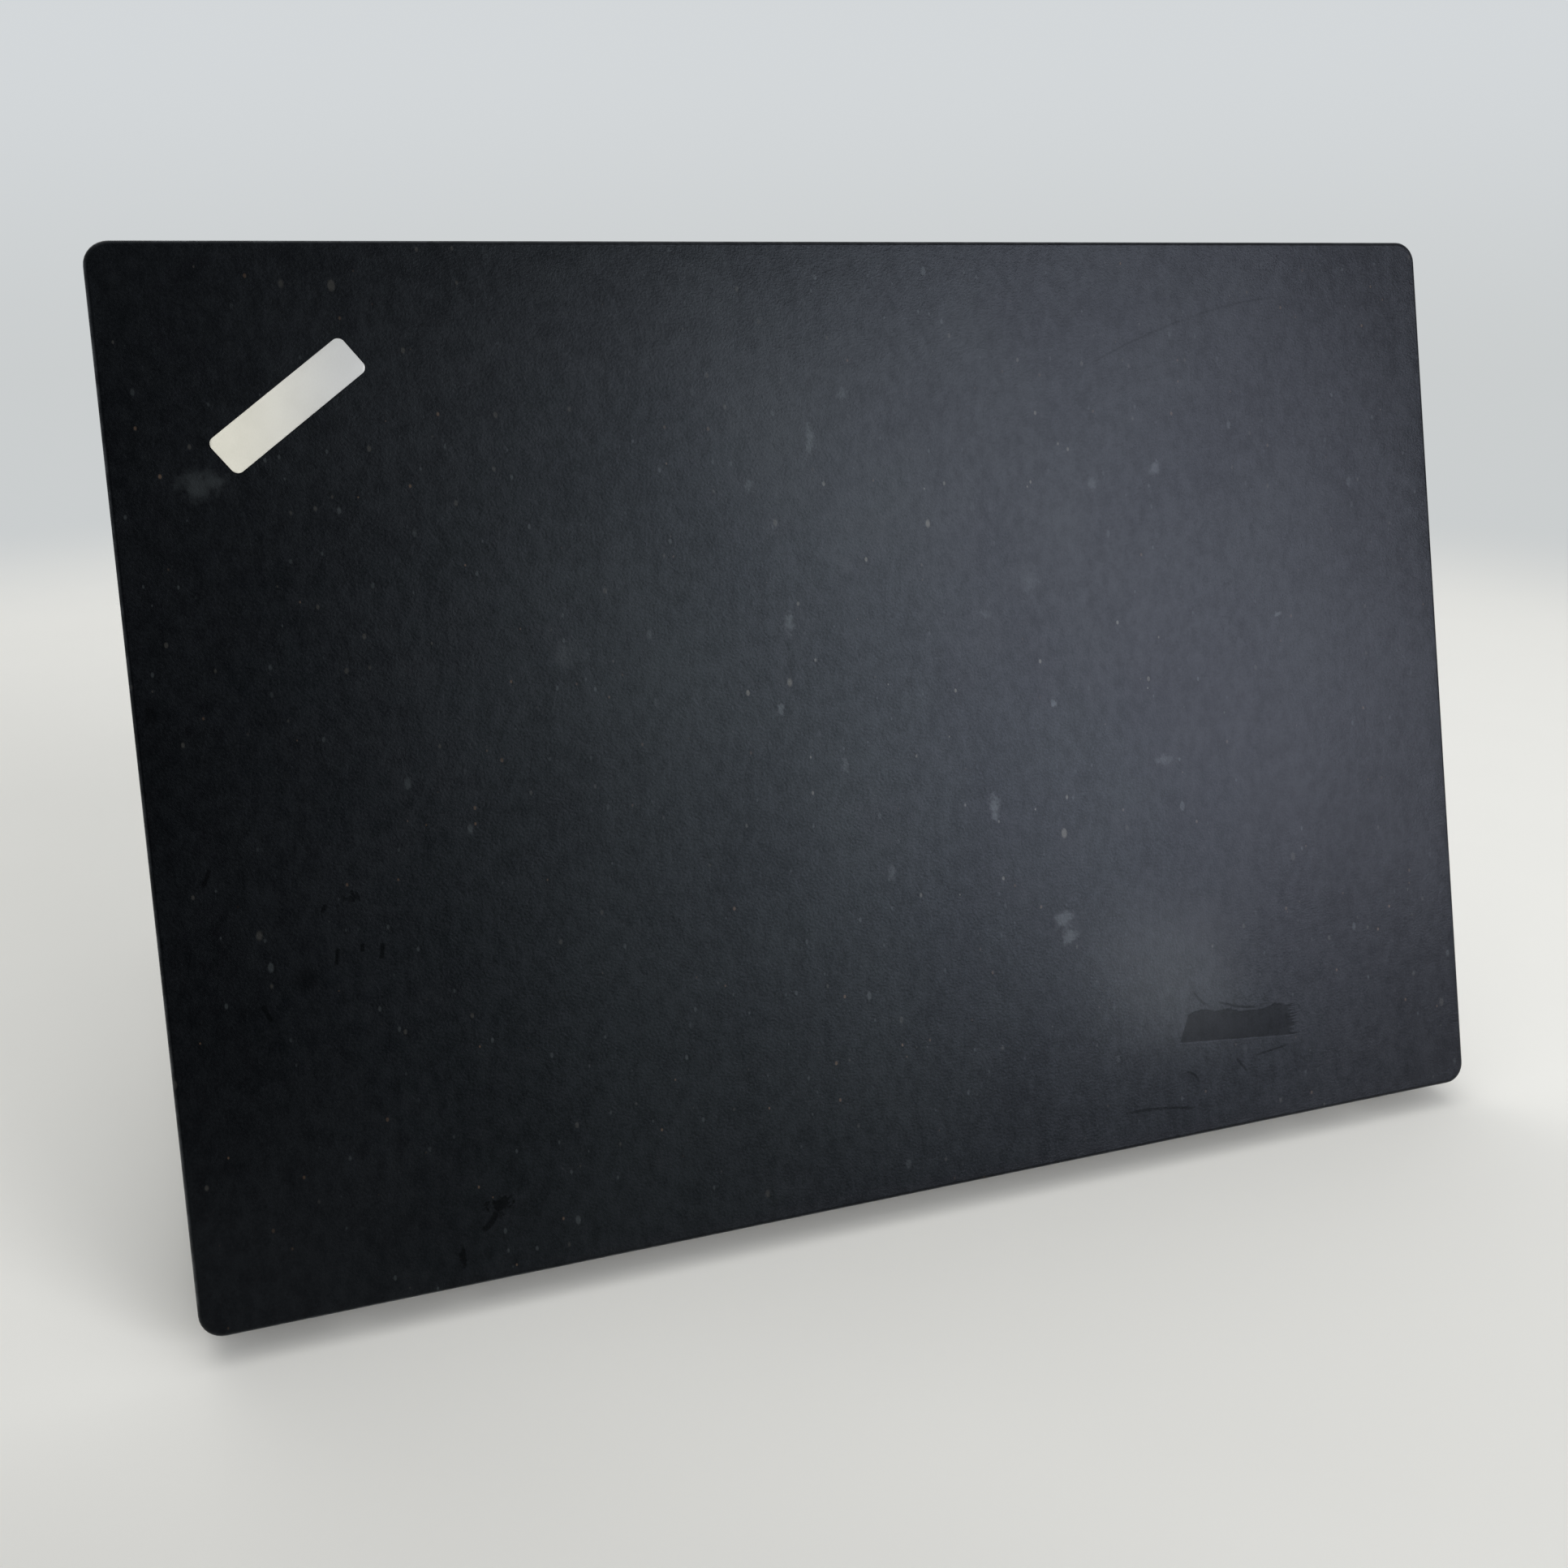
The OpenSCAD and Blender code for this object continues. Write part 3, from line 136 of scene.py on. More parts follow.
class Surface(Graph):
    """A procedural material, on which patterns are placed in millimetres."""

    def __init__(self, name, color, roughness, metallic=0.0, specular=0.5):
        self.material = bpy.data.materials.new(name)
        self.material.use_nodes = True
        super().__init__(self.material.node_tree)
        self.shader = self.tree.nodes["Principled BSDF"]
        self.set("Base Color", (*color, 1.0))
        self.set("Roughness", roughness)
        self.set("Metallic", metallic)
        self.set("Specular IOR Level", specular)
        self.color = color
        self.heights = []
        self.object_place = self.node("ShaderNodeTexCoord").outputs["Object"]
        self.place = self.node(
            "ShaderNodeMapping", {"Vector": self.object_place, "Scale": (1000, 1000, 1000)}
        ).outputs[0]

    def set(self, name, value):
        self.feed(self.shader.inputs[name], value)

    def stretched(self, stretch):
        if stretch == (1, 1, 1):
            return self.place
        return self.node(
            "ShaderNodeMapping",
            {"Vector": self.place, "Scale": tuple(1 / part for part in stretch)},
        ).outputs[0]

    def noise(self, size_mm, detail=2.0, rough=0.5, stretch=(1, 1, 1)):
        """Noise from 0 to 1 with features about this large, longer along stretch."""
        return self.node(
            "ShaderNodeTexNoise",
            {
                "Vector": self.stretched(stretch), "Scale": 1 / size_mm,
                "Detail": detail, "Roughness": rough,
            },
        ).outputs["Fac"]

    def specks(self, spacing_mm, size_mm, share, stretch=(1, 1, 1)):
        """Scattered dots: about one per spacing, of which only a share shows."""
        cells = self.node(
            "ShaderNodeTexVoronoi", {"Vector": self.stretched(stretch), "Scale": 1 / spacing_mm}
        )
        parts = self.node("ShaderNodeSeparateColor", {"Color": cells.outputs["Color"]})
        size = self.ramp(parts.outputs[1], 0, 1, 0.4 * size_mm / spacing_mm, size_mm / spacing_mm)
        dot = self.ramp(self.math("DIVIDE", cells.outputs["Distance"], size), 0.5, 1.0, 1.0, 0.0)
        shown = self.math("LESS_THAN", parts.outputs[0], share)
        return self.math("MULTIPLY", dot, shown)

    def blot(self, x, y, wide, high, turn=0.0, edge=0.6, ragged=0.5):
        """Soft uneven spot, 1 inside and 0 outside, of this half width and half height."""
        local = self.node(
            "ShaderNodeMapping",
            {
                "Vector": self.place,
                "Location": (x, y, 0),
                "Rotation": (0, 0, math.radians(turn)),
                "Scale": (wide, high, 1e6),
            },
            vector_type="TEXTURE",
        ).outputs[0]
        distance = self.length(local)
        uneven = self.noise(min(wide, high) * 0.9, 3.0, 0.6)
        shift = self.ramp(uneven, 0.25, 0.75, -ragged / 2, ragged / 2)
        return self.ramp(self.math("ADD", distance, shift), 1 - edge, 1.0, 1.0, 0.0)

    def scratch(self, start, end, width, bend=0.0):
        """Thin line from start to end, bowed sideways by bend, fading at both ends."""
        (x0, y0), (x1, y1) = start, end
        half = math.hypot(x1 - x0, y1 - y0) / 2
        local = self.node(
            "ShaderNodeMapping",
            {
                "Vector": self.place,
                "Location": ((x0 + x1) / 2, (y0 + y1) / 2, 0),
                "Rotation": (0, 0, math.atan2(y1 - y0, x1 - x0)),
                "Scale": (half, 1, 1),
            },
            vector_type="TEXTURE",
        ).outputs[0]
        along, across, _ = self.parts(local)
        bow = self.math("MULTIPLY", self.math("MULTIPLY", along, along), -bend)
        aside = self.math("ABSOLUTE", self.math("SUBTRACT", across, self.math("ADD", bow, bend)))
        line = self.ramp(aside, width * 0.3, width, 1.0, 0.0)
        ends = self.ramp(self.math("ABSOLUTE", along), 0.55, 1.0, 1.0, 0.0)
        return self.math("MULTIPLY", line, ends)

    def most(self, masks):
        """The largest of several masks at each point."""
        total = masks[0]
        for mask in masks[1:]:
            total = self.math("MAXIMUM", total, mask)
        return total

    def shade(self, value, low, high):
        """Base colour times low..high as value goes from 0 to 1."""
        dark = tuple(part * low for part in self.color)
        light = tuple(part * high for part in self.color)
        self.set("Base Color", self.mix(value, dark, light))

    def bump(self, height, depth_mm, strength=1.0):
        """Adds relief, on top of what was added before."""
        inputs = {"Height": height, "Distance": depth_mm * MM, "Strength": strength}
        if self.heights:
            inputs["Normal"] = self.heights[-1]
        self.heights.append(self.node("ShaderNodeBump", inputs).outputs[0])
        self.set("Normal", self.heights[-1])


def moulded(name, color, roughness, grain_mm=0.35, depth_mm=0.012, specular=0.4):
    """Moulded plastic: fine spark-eroded grain, faint clouding and dust in the grain."""
    surface = Surface(name, color, roughness, specular=specular)
    grain = surface.noise(grain_mm, 2.0, 0.6)
    clouds = surface.noise(22, 3.0, 0.55)
    dust = surface.specks(3.5, 0.12, 0.25)
    surface.bump(grain, depth_mm)
    tone = surface.math("MULTIPLY_ADD", clouds, 0.75, surface.math("MULTIPLY", grain, 0.25))
    dark = tuple(part * 0.8 for part in color)
    light = tuple(part * 1.25 for part in color)
    base = surface.mix(tone, dark, light)
    dusted = surface.mix(surface.math("MULTIPLY", dust, 0.25), base, (0.16, 0.16, 0.155))
    surface.set("Base Color", dusted)
    surface.set("Roughness", surface.ramp(clouds, 0.2, 0.8, roughness - 0.04, roughness + 0.04))
    return surface


def brushed(name, color, roughness, along=(40, 1, 1), depth_mm=0.004):
    """Metal with fine parallel lines and faint staining."""
    surface = Surface(name, color, roughness, metallic=1.0)
    lines = surface.noise(0.16, 3.0, 0.7, along)
    stains = surface.noise(9, 3.0, 0.6)
    surface.bump(lines, depth_mm)
    tone = surface.math("MULTIPLY_ADD", lines, 0.5, surface.math("MULTIPLY", stains, 0.5))
    surface.shade(tone, 0.78, 1.12)
    surface.set("Roughness", surface.ramp(stains, 0.3, 0.7, roughness * 0.8, roughness * 1.25))
    return surface


def nameplate():
    """Satin silver foil of the blank nameplate, lightly handled, with a painted sheen that makes it
    lighter and warmer towards +x.
    """
    surface = Surface("badge_metal", (0.50, 0.49, 0.455), 0.44, metallic=0.35, specular=0.5)
    lines = surface.noise(0.14, 2.0, 0.6, (1, 1, 12))
    handled = surface.noise(7, 3.0, 0.55)
    along = surface.parts(surface.place)[0]
    surface.bump(lines, 0.003)
    tone = surface.math("MULTIPLY_ADD", handled, 0.6, surface.math("MULTIPLY", lines, 0.4))
    # Painted sheen: warm is the lit end and cool the shaded end of a gradient along x, not tones of
    # the foil.
    warm = surface.mix(tone, (0.52, 0.50, 0.42), (0.66, 0.64, 0.555))
    cool = surface.mix(tone, (0.37, 0.37, 0.36), (0.47, 0.475, 0.47))
    surface.set("Base Color", surface.mix(surface.ramp(along, 106, 136), cool, warm))
    surface.set("Roughness", surface.ramp(handled, 0.3, 0.7, 0.40, 0.54))
    return surface


# Pale smudges on the lid: x, u, half width, half height, strength
SMUDGES = [
    (-42.6, 53.3, 3.0, 3.0, 0.8), (-43.6, 49.4, 2.8, 2.2, 0.8), (-26.9, 82.3, 1.9, 3.4, 1.0),
    (19.6, 128.7, 1.4, 3.0, 0.7), (11.4, 168.4, 1.2, 4.6, 0.6), (2.8, 178.5, 1.5, 1.8, 0.5),
    (23.4, 109.9, 1.0, 2.0, 0.7), (-40.6, 134.1, 3.2, 4.0, 0.35), (-28.3, 127.2, 1.7, 2.0, 0.4),
    (-75.6, 158.8, 1.6, 2.2, 0.7), (-58.6, 155.5, 1.7, 1.8, 0.5), (26.4, 159.4, 1.3, 1.6, 0.5),
    (9.2, 95.8, 1.1, 2.2, 0.5), (0.2, 69.9, 1.3, 2.2, 0.5), (7.4, 142.5, 5.0, 5.0, 0.15),
    (138.8, 164.8, 5.5, 3.2, 0.5), (69.6, 126.0, 4.5, 3.5, 0.25), (-73.0, 88.5, 3.4, 1.6, 0.5),
    (-44.1, 104.8, 1.0, 1.1, 1.0), (-107.9, 121.3, 1.1, 0.8, 1.0),
]
# Dark stains on the lid: x, u, half width, half height, soft edge, raggedness, strength
STAINS = [
    (95.1, 11.6, 3.2, 2.4, 0.6, 1.2, 1.0), (103.5, 2.1, 0.9, 3.0, 0.6, 0.5, 1.0),
    (129.2, 64.7, 5.5, 4.2, 0.9, 0.5, 0.6), (118.7, 80.0, 2.0, 1.6, 0.6, 1.2, 0.7),
    (152.6, 120.2, 1.6, 2.4, 0.6, 0.5, 0.7),
]
# Dark scratches on the lid: x and u of both ends, half width, bow, strength
SCRATCHES = [
    (95.5, 11.0, 99.6, 6.4, 1.0, 0.8, 1.0), (144.6, 89.6, 146.7, 85.4, 0.6, 0.0, 1.0),
    (137.9, 61.2, 136.1, 56.7, 0.7, 0.0, 1.0), (122.1, 70.6, 122.9, 66.3, 0.6, 0.0, 1.0),
    (117.3, 70.6, 117.5, 68.6, 0.6, 0.0, 1.0), (113.2, 70.4, 113.9, 66.4, 0.7, 0.0, 1.0),
    (124.6, 77.6, 123.6, 79.6, 0.6, 0.0, 1.0), (-57.0, 182.2, -92.0, 195.3, 0.45, 0.9, 0.33),
    (-86.0, 193.4, -116.0, 199.0, 0.5, 1.1, 0.36), (-84.0, 206.6, -119.0, 204.4, 0.45, 0.6, 0.21),
    (-82.0, 28.1, -96.5, 24.4, 0.5, -0.8, 0.6), (-91.3, 12.3, -103.7, 13.8, 0.45, 0.0, 0.6),
    (-52.7, 4.2, -77.3, 1.6, 0.55, 1.0, 0.6), (-72.4, 12.0, -76.5, 8.0, 0.5, 0.8, 0.6),
    (-87.0, 13.0, -90.5, 8.5, 0.5, 0.0, 0.6), (-76.0, 32.0, -80.5, 27.0, 0.5, -0.7, 0.6),
]


def lid_place(surface):
    """Coordinates that lie on the closed lid, whatever the lid's pose at rest: x, -u, v."""
    return surface.node(
        "ShaderNodeMapping",
        {
            "Vector": surface.object_place,
            "Scale": (1000, 1000, 1000),
            "Rotation": (LID_OPEN, 0, 0),
            "Location": tuple(Matrix.Rotation(LID_OPEN, 4, "X") @ (-AXIS * 1000)),
        },
    ).outputs[0]


def pale_marks(surface, where):
    """Smudges at their places and fine dust wherever the mask "where" lets it lie."""
    marks = []
    for x, u, wide, high, power in SMUDGES:
        spot = surface.blot(x, -u, wide * 1.1, high * 1.1, edge=0.85, ragged=0.7)
        marks.append(surface.math("MULTIPLY", spot, power * 0.75))
    for dots, share in (
        (surface.specks(3.0, 0.45, 0.5, (1, 1.7, 1)), 0.45),
        (surface.specks(7, 0.9, 0.4, (1, 1.8, 1)), 0.5),
    ):
        marks.append(surface.math("MULTIPLY", dots, surface.math("MULTIPLY", where, share)))
    return surface.most(marks)


def dark_marks(surface):
    """Black stains and scratches at their places."""
    marks = []
    for x, u, wide, high, edge, ragged, power in STAINS:
        spot = surface.blot(x, -u, wide, high, edge=edge, ragged=ragged)
        marks.append(surface.math("MULTIPLY", spot, power))
    for x0, u0, x1, u1, width, bow, power in SCRATCHES:
        line = surface.scratch((x0, -u0), (x1, -u1), width, bow)
        marks.append(surface.math("MULTIPLY", line, power))
    return surface.most(marks)


def worn_rim(surface, x, y, v):
    """Where the paint has rubbed thin: the back edge of the lid's rim, all round."""
    sides = surface.ramp(surface.math("ABSOLUTE", x), LID_SIDE_X - 0.8, LID_SIDE_X - 0.1)
    far_edge = surface.ramp(y, 0.7 - LID_FAR_U, 0.1 - LID_FAR_U)
    near_edge = surface.ramp(y, -LID_NEAR_U - 0.7, -LID_NEAR_U - 0.1)
    rubbed = surface.ramp(surface.noise(5, 4.0, 0.65), 0.40, 0.62, 0.15, 1.0)
    rim = surface.math("MULTIPLY", surface.most([sides, far_edge, near_edge]), rubbed)
    at_back = surface.ramp(v, LID_BACK_V - 1.2, LID_BACK_V - 0.5, 0.12, 1.0)
    return surface.math("MULTIPLY", rim, at_back)


def wiped_patch(surface, x, y):
    """Long strip near a corner where a sticker was: one side ragged, one end combed out."""

    def edge(x_part, y_part, offset):
        """A straight edge of the strip, above zero on the inside."""
        inner = surface.math("MULTIPLY_ADD", y, y_part, offset)
        return surface.math("MULTIPLY_ADD", x, x_part, inner)

    ragged = surface.ramp(surface.noise(7, 3.0, 0.55), 0.3, 0.7, -0.9, 0.9)
    comb = surface.ramp(surface.noise(0.55, 2.0, 0.6, (16, 1, 1)), 0.35, 0.65, -1.2, 1.2)
    patch = surface.ramp(edge(-0.095, -1.0, -25.8), -0.2, 0.2)
    for limit, soft in (
        (surface.math("ADD", edge(0.05, 1.0, 29.3), ragged), 0.3),
        (edge(-1.0, 0.45, -63.0), 0.2),
        (surface.math("ADD", edge(1.0, 0.0, 104.5), comb), 1.2),
    ):
        patch = surface.math("MULTIPLY", patch, surface.ramp(limit, -soft, soft))
    return patch


def lid_paint():
    """Black soft-touch paint, hazed by handling, with specks, scuffs and one wiped patch."""
    surface = Surface("lid_paint", (0.0018, 0.0022, 0.0030), 0.42, specular=0.15)
    surface.place = lid_place(surface)
    x, y, v = surface.parts(surface.place)

    grain = surface.noise(0.5, 2.0, 0.7)
    mottle = surface.noise(2.4, 3.0, 0.6, (1, 1.6, 1))
    streaks = surface.noise(7, 3.0, 0.5, (1, 6, 1))
    clouds = surface.noise(45, 3.0, 0.5)
    dusty = surface.ramp(surface.noise(60, 2.0, 0.5), 0.35, 0.6, 0.25, 1.0)
    pale = pale_marks(surface, dusty)
    dark = dark_marks(surface)
    worn = worn_rim(surface, x, y, v)
    patch = wiped_patch(surface, x, y)

    fine = surface.math("MULTIPLY_ADD", mottle, 0.5, surface.math("MULTIPLY", grain, 0.5))
    broad = surface.math("MULTIPLY_ADD", streaks, 0.10, surface.math("MULTIPLY", clouds, 0.18))
    haze = surface.math("MULTIPLY_ADD", fine, 0.72, broad)

    even = surface.ramp(haze, 0.3, 0.7)
    base = surface.mix(even, (0.0004, 0.0005, 0.0008), (0.0009, 0.0011, 0.0015))
    brown = surface.math("MULTIPLY", surface.specks(3.4, 0.42, 0.3, (1, 1.4, 1)), dusty)
    base = surface.mix(brown, base, (0.040, 0.026, 0.017))
    handled = surface.blot(-22, -118, 85, 85, edge=0.7, ragged=0.3)
    cream = surface.most([
        surface.specks(4.2, 0.55, 0.45, (1, 1.5, 1)), surface.specks(9, 0.95, 0.4, (1, 1.6, 1))
    ])
    cream = surface.math("MULTIPLY", cream, surface.ramp(handled, 0, 1, 0.25, 1.0))
    base = surface.mix(cream, base, (0.058, 0.055, 0.048))
    base = surface.mix(pale, base, (0.026, 0.030, 0.031))
    black = surface.math("MAXIMUM", dark, surface.math("MULTIPLY", patch, 0.9))
    base = surface.mix(black, base, (0.0010, 0.0011, 0.0013))
    surface.set("Base Color", surface.mix(worn, base, (0.020, 0.021, 0.023)))
    tint = surface.ramp(surface.math("MULTIPLY_ADD", clouds, 160, x), -60, 190)
    surface.set("Specular Tint", surface.mix(tint, (0.75, 0.81, 1.0), (0.80, 0.90, 1.0)))

    level = surface.ramp(haze, 0.34, 0.66, 0.115, 0.195)
    level = surface.math("MULTIPLY_ADD", pale, 0.07, level)
    level = surface.math("MULTIPLY_ADD", worn, 0.20, level)
    level = surface.math("MULTIPLY", level, surface.ramp(patch, 0, 1, 1.0, 0.60))
    level = surface.math("MULTIPLY", level, surface.ramp(dark, 0, 1, 1.0, 0.38))
    surface.set("Specular IOR Level", level)
    surface.set("Roughness", surface.ramp(haze, 0.3, 0.7, 0.28, 0.34))
    rough = surface.ramp(patch, 0, 1, 1.0, 0.35)
    surface.bump(surface.math("MULTIPLY", grain, rough), 0.035)
    surface.bump(mottle, 0.012)
    return surface


def screen_glass():
    """Matte film over an unlit display: nearly black, with a very fine sparkle."""
    surface = Surface("screen_glass", (0.0035, 0.0038, 0.0045), 0.38, specular=0.28)
    grain = surface.noise(0.18, 1.0, 0.5)
    wiped = surface.noise(70, 4.0, 0.6, (1, 2, 1))
    surface.bump(grain, 0.0022)
    surface.set("Roughness", surface.ramp(wiped, 0.35, 0.65, 0.34, 0.44))
    color = surface.mix(wiped, (0.0028, 0.0031, 0.0038), (0.0052, 0.0056, 0.0064))
    surface.set("Base Color", color)
    return surface


def keycap():
    """Satin keycap: soft grain, a slight polish where fingers rest."""
    surface = Surface("key_plastic", (0.0125, 0.0130, 0.0142), 0.46, specular=0.42)
    grain = surface.noise(0.22, 2.0, 0.6)
    touched = surface.noise(11, 3.0, 0.55)
    dust = surface.specks(2.6, 0.09, 0.2)
    surface.bump(grain, 0.006)
    base = surface.mix(touched, (0.0105, 0.0110, 0.0120), (0.0150, 0.0156, 0.0170))
    dusted = surface.mix(surface.math("MULTIPLY", dust, 0.2), base, (0.14, 0.14, 0.135))
    surface.set("Base Color", dusted)
    surface.set("Roughness", surface.ramp(touched, 0.3, 0.7, 0.36, 0.52))
    return surface


def pad_glass():
    """Etched glass of the touchpad, a little polished in the middle."""
    surface = Surface("pad_glass", (0.012, 0.0125, 0.0135), 0.34, specular=0.5)
    low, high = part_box("touchpad")
    middle = (low + high) / 2 * 1000
    grain = surface.noise(0.15, 1.0, 0.5)
    polish = surface.blot(middle.x, middle.y, 42, 22, edge=1.0, ragged=0.1)
    smears = surface.noise(16, 4.0, 0.6, (3, 1, 1))
    surface.bump(grain, 0.0018)
    even = surface.ramp(smears, 0.3, 0.7, 0.32, 0.40)
    surface.set("Roughness", surface.math("MULTIPLY_ADD", polish, -0.07, even))
    surface.shade(smears, 0.85, 1.15)
    return surface


def circuit_board():
    """Green solder mask over copper tracks, with plated dots."""
    surface = Surface("circuit_board", (0.012, 0.075, 0.04), 0.32)
    bricks = surface.node(
        "ShaderNodeTexBrick",
        {
            "Vector": surface.place, "Scale": 0.22, "Mortar Size": 0.06, "Mortar Smooth": 0.1,
            "Color1": (0.010, 0.070, 0.036, 1), "Color2": (0.014, 0.092, 0.048, 1),
            "Mortar": (0.030, 0.150, 0.075, 1),
        },
    )
    dots = surface.specks(2.4, 0.35, 0.55)
    surface.set("Base Color", surface.mix(dots, bricks.outputs["Color"], (0.72, 0.58, 0.32)))
    surface.set("Metallic", dots)
    surface.bump(bricks.outputs["Fac"], -0.03)
    return surface


def copper():
    """Lacquered copper, browner where it has been hot."""
    surface = Surface("copper", (0.72, 0.36, 0.22), 0.3, metallic=1.0)
    tint = surface.noise(12, 4.0, 0.6)
    lines = surface.noise(0.3, 2.0, 0.6, (20, 1, 1))
    surface.set("Base Color", surface.mix(tint, (0.56, 0.25, 0.15), (0.80, 0.43, 0.27)))
    surface.set("Roughness", surface.ramp(tint, 0.3, 0.7, 0.24, 0.4))
    surface.bump(lines, 0.004)
    return surface


def battery_wrap():
    """Black film round the cells, with shallow wrinkles."""
    surface = Surface("battery_wrap", (0.018, 0.0185, 0.020), 0.38)
    wrinkles = surface.noise(9, 4.0, 0.55, (1, 3, 1))
    grain = surface.noise(0.4, 2.0, 0.6)
    surface.bump(wrinkles, 0.15, 0.5)
    surface.bump(grain, 0.006)
    # Painted shade and highlight: the colour follows the wrinkles' height, darker in their hollows
    # and lighter on their crests.
    surface.shade(wrinkles, 0.8, 1.25)
    return surface


def rubber():
    """Dull black rubber with a crossed texture and pale dust in it."""
    surface = Surface("rubber", (0.012, 0.012, 0.0125), 0.78, specular=0.3)
    weave = surface.node(
        "ShaderNodeTexWave", {"Vector": surface.place, "Scale": 0.55}, bands_direction="DIAGONAL"
    )
    grain = surface.noise(0.3, 2.0, 0.6)
    dust = surface.noise(6, 4.0, 0.65)
    surface.bump(weave.outputs["Fac"], 0.03, 0.6)
    surface.bump(grain, 0.012)
    dusty = surface.ramp(dust, 0.5, 0.8, 0.0, 0.5)
    surface.set("Base Color", surface.mix(dusty, surface.color, (0.05, 0.048, 0.045)))
    return surface


def screw_steel():
    """Blackened screws, bright where the coating has rubbed off."""
    surface = Surface("screw_steel", (0.05, 0.05, 0.053), 0.36, metallic=1.0)
    rubbed = surface.ramp(surface.noise(0.8, 3.0, 0.65), 0.55, 0.75)
    surface.set("Base Color", surface.mix(rubbed, (0.045, 0.045, 0.048), (0.30, 0.30, 0.31)))
    surface.set("Roughness", surface.ramp(rubbed, 0, 1, 0.4, 0.26))
    surface.bump(surface.noise(0.25, 2.0, 0.6), 0.006)
    return surface


def legend_ink():
    """Pale printing on the keys, worn a little thin."""
    surface = Surface("legend_ink", (0.62, 0.63, 0.64), 0.55, specular=0.3)
    wear = surface.noise(0.8, 3.0, 0.6)
    surface.shade(surface.ramp(wear, 0.3, 0.7), 0.78, 1.08)
    surface.bump(surface.noise(0.2, 1.0, 0.5), 0.004)
    return surface


SURFACES = {
    "lid_paint": lid_paint(),
    "case_plastic": moulded("case_plastic", (0.0150, 0.0156, 0.0170), 0.48),
    "bezel_plastic": moulded("bezel_plastic", (0.0105, 0.0108, 0.0116), 0.55, 0.28, 0.010),
    "screen_glass": screen_glass(),
    "badge_metal": nameplate(),
    "hinge_steel": brushed("hinge_steel", (0.40, 0.41, 0.43), 0.38, (1, 30, 1)),
    "pin_steel": brushed("pin_steel", (0.62, 0.62, 0.64), 0.22, (1, 1, 20)),
    "screw_steel": screw_steel(),
    "rubber": rubber(),
    "key_plastic": keycap(),
    "plate_metal": brushed("plate_metal", (0.42, 0.43, 0.44), 0.42, (30, 1, 1)),
    "pad_glass": pad_glass(),
    "circuit_board": circuit_board(),
    "chip_epoxy": moulded("chip_epoxy", (0.022, 0.023, 0.026), 0.5, 0.2, 0.008),
    "copper": copper(),
    "fin_metal": brushed("fin_metal", (0.62, 0.63, 0.65), 0.34, (30, 1, 1)),
    "fan_plastic": moulded("fan_plastic", (0.011, 0.0112, 0.0118), 0.52, 0.5, 0.012),
    "battery_wrap": battery_wrap(),
    "socket_metal": brushed("socket_metal", (0.55, 0.56, 0.58), 0.30, (20, 1, 1)),
    "cell_steel": brushed("cell_steel", (0.64, 0.65, 0.66), 0.28, (1, 20, 1)),
}
INK = legend_ink()

for node in nodes.values():
    slot = node.material_slots[0]
    slot.material = SURFACES[slot.material.name.split(".")[0]].material


WELD_DISTANCE = 1e-6


def soften(name, width_mm, segments=2):
    """Breaks the sharp edges of a CAD piece with a small bevel, so that they catch the light."""
    piece = nodes[name]
    weld = piece.modifiers.new("weld", "WELD")
    weld.merge_threshold = WELD_DISTANCE
    bevel = piece.modifiers.new("bevel", "BEVEL")
    bevel.width = width_mm * MM
    bevel.segments = segments
    bevel.limit_method = "ANGLE"
    bevel.angle_limit = math.radians(35)
    bevel.use_clamp_overlap = True
    normals = piece.modifiers.new("normals", "WEIGHTED_NORMAL")
    normals.keep_sharp = False


for name in ("top_case", "lid_cover", "display_bezel", "base_cover"):
    soften(name, 0.12)
for name in (
    "lid_badge", "power_button", "rubber_feet", "hinge_lid_leaf_left", "hinge_lid_leaf_right"
):
    soften(name, 0.07)

# ---- Small pieces ----


def add_mesh(name, built, surface, body):
    """Turns a bmesh into a piece that rides on a body."""
    mesh = bpy.data.meshes.new(name)
    built.to_mesh(mesh)
    built.free()
    mesh.materials.append(surface.material)
    piece = bpy.data.objects.new(name, mesh)
    scene.collection.objects.link(piece)
    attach(piece, body)
    return piece


UNIT_MM = 18.9
ROW_BACK_MM = 20.85
FUNCTION_MM = 11.5
ROW_MM = 18.4
ROW_UNITS = 15
CAP_INSET_MM = 1.25
LEGEND_RISE_MM = 2.8
LETTER_MM = 3.9
SIGN_MM = 2.9
WORD_MM = 2.3
INK_LIFT = 0.02 * MM


def row_middle(row):
    """Distance from the hinge axis of a row's middle line, row 0 being the function row."""
    if row == 0:
        return ROW_BACK_MM + FUNCTION_MM / 2
    return ROW_BACK_MM + FUNCTION_MM + (row - 0.5) * ROW_MM


def glyph(text, height_mm):
    """Flat outline of a legend, centred on its own middle, as a mesh."""
    curve = bpy.data.curves.new("legend", "FONT")
    curve.body = text
    curve.size = height_mm * MM * 1.4
    curve.align_x = "CENTER"
    curve.align_y = "CENTER"
    curve.resolution_u = 3
    holder = bpy.data.objects.new("legend", curve)
    scene.collection.objects.link(holder)
    bpy.context.view_layer.update()
    mesh = bpy.data.meshes.new_from_object(holder)
    bpy.data.objects.remove(holder)
    bpy.data.curves.remove(curve)
    return mesh


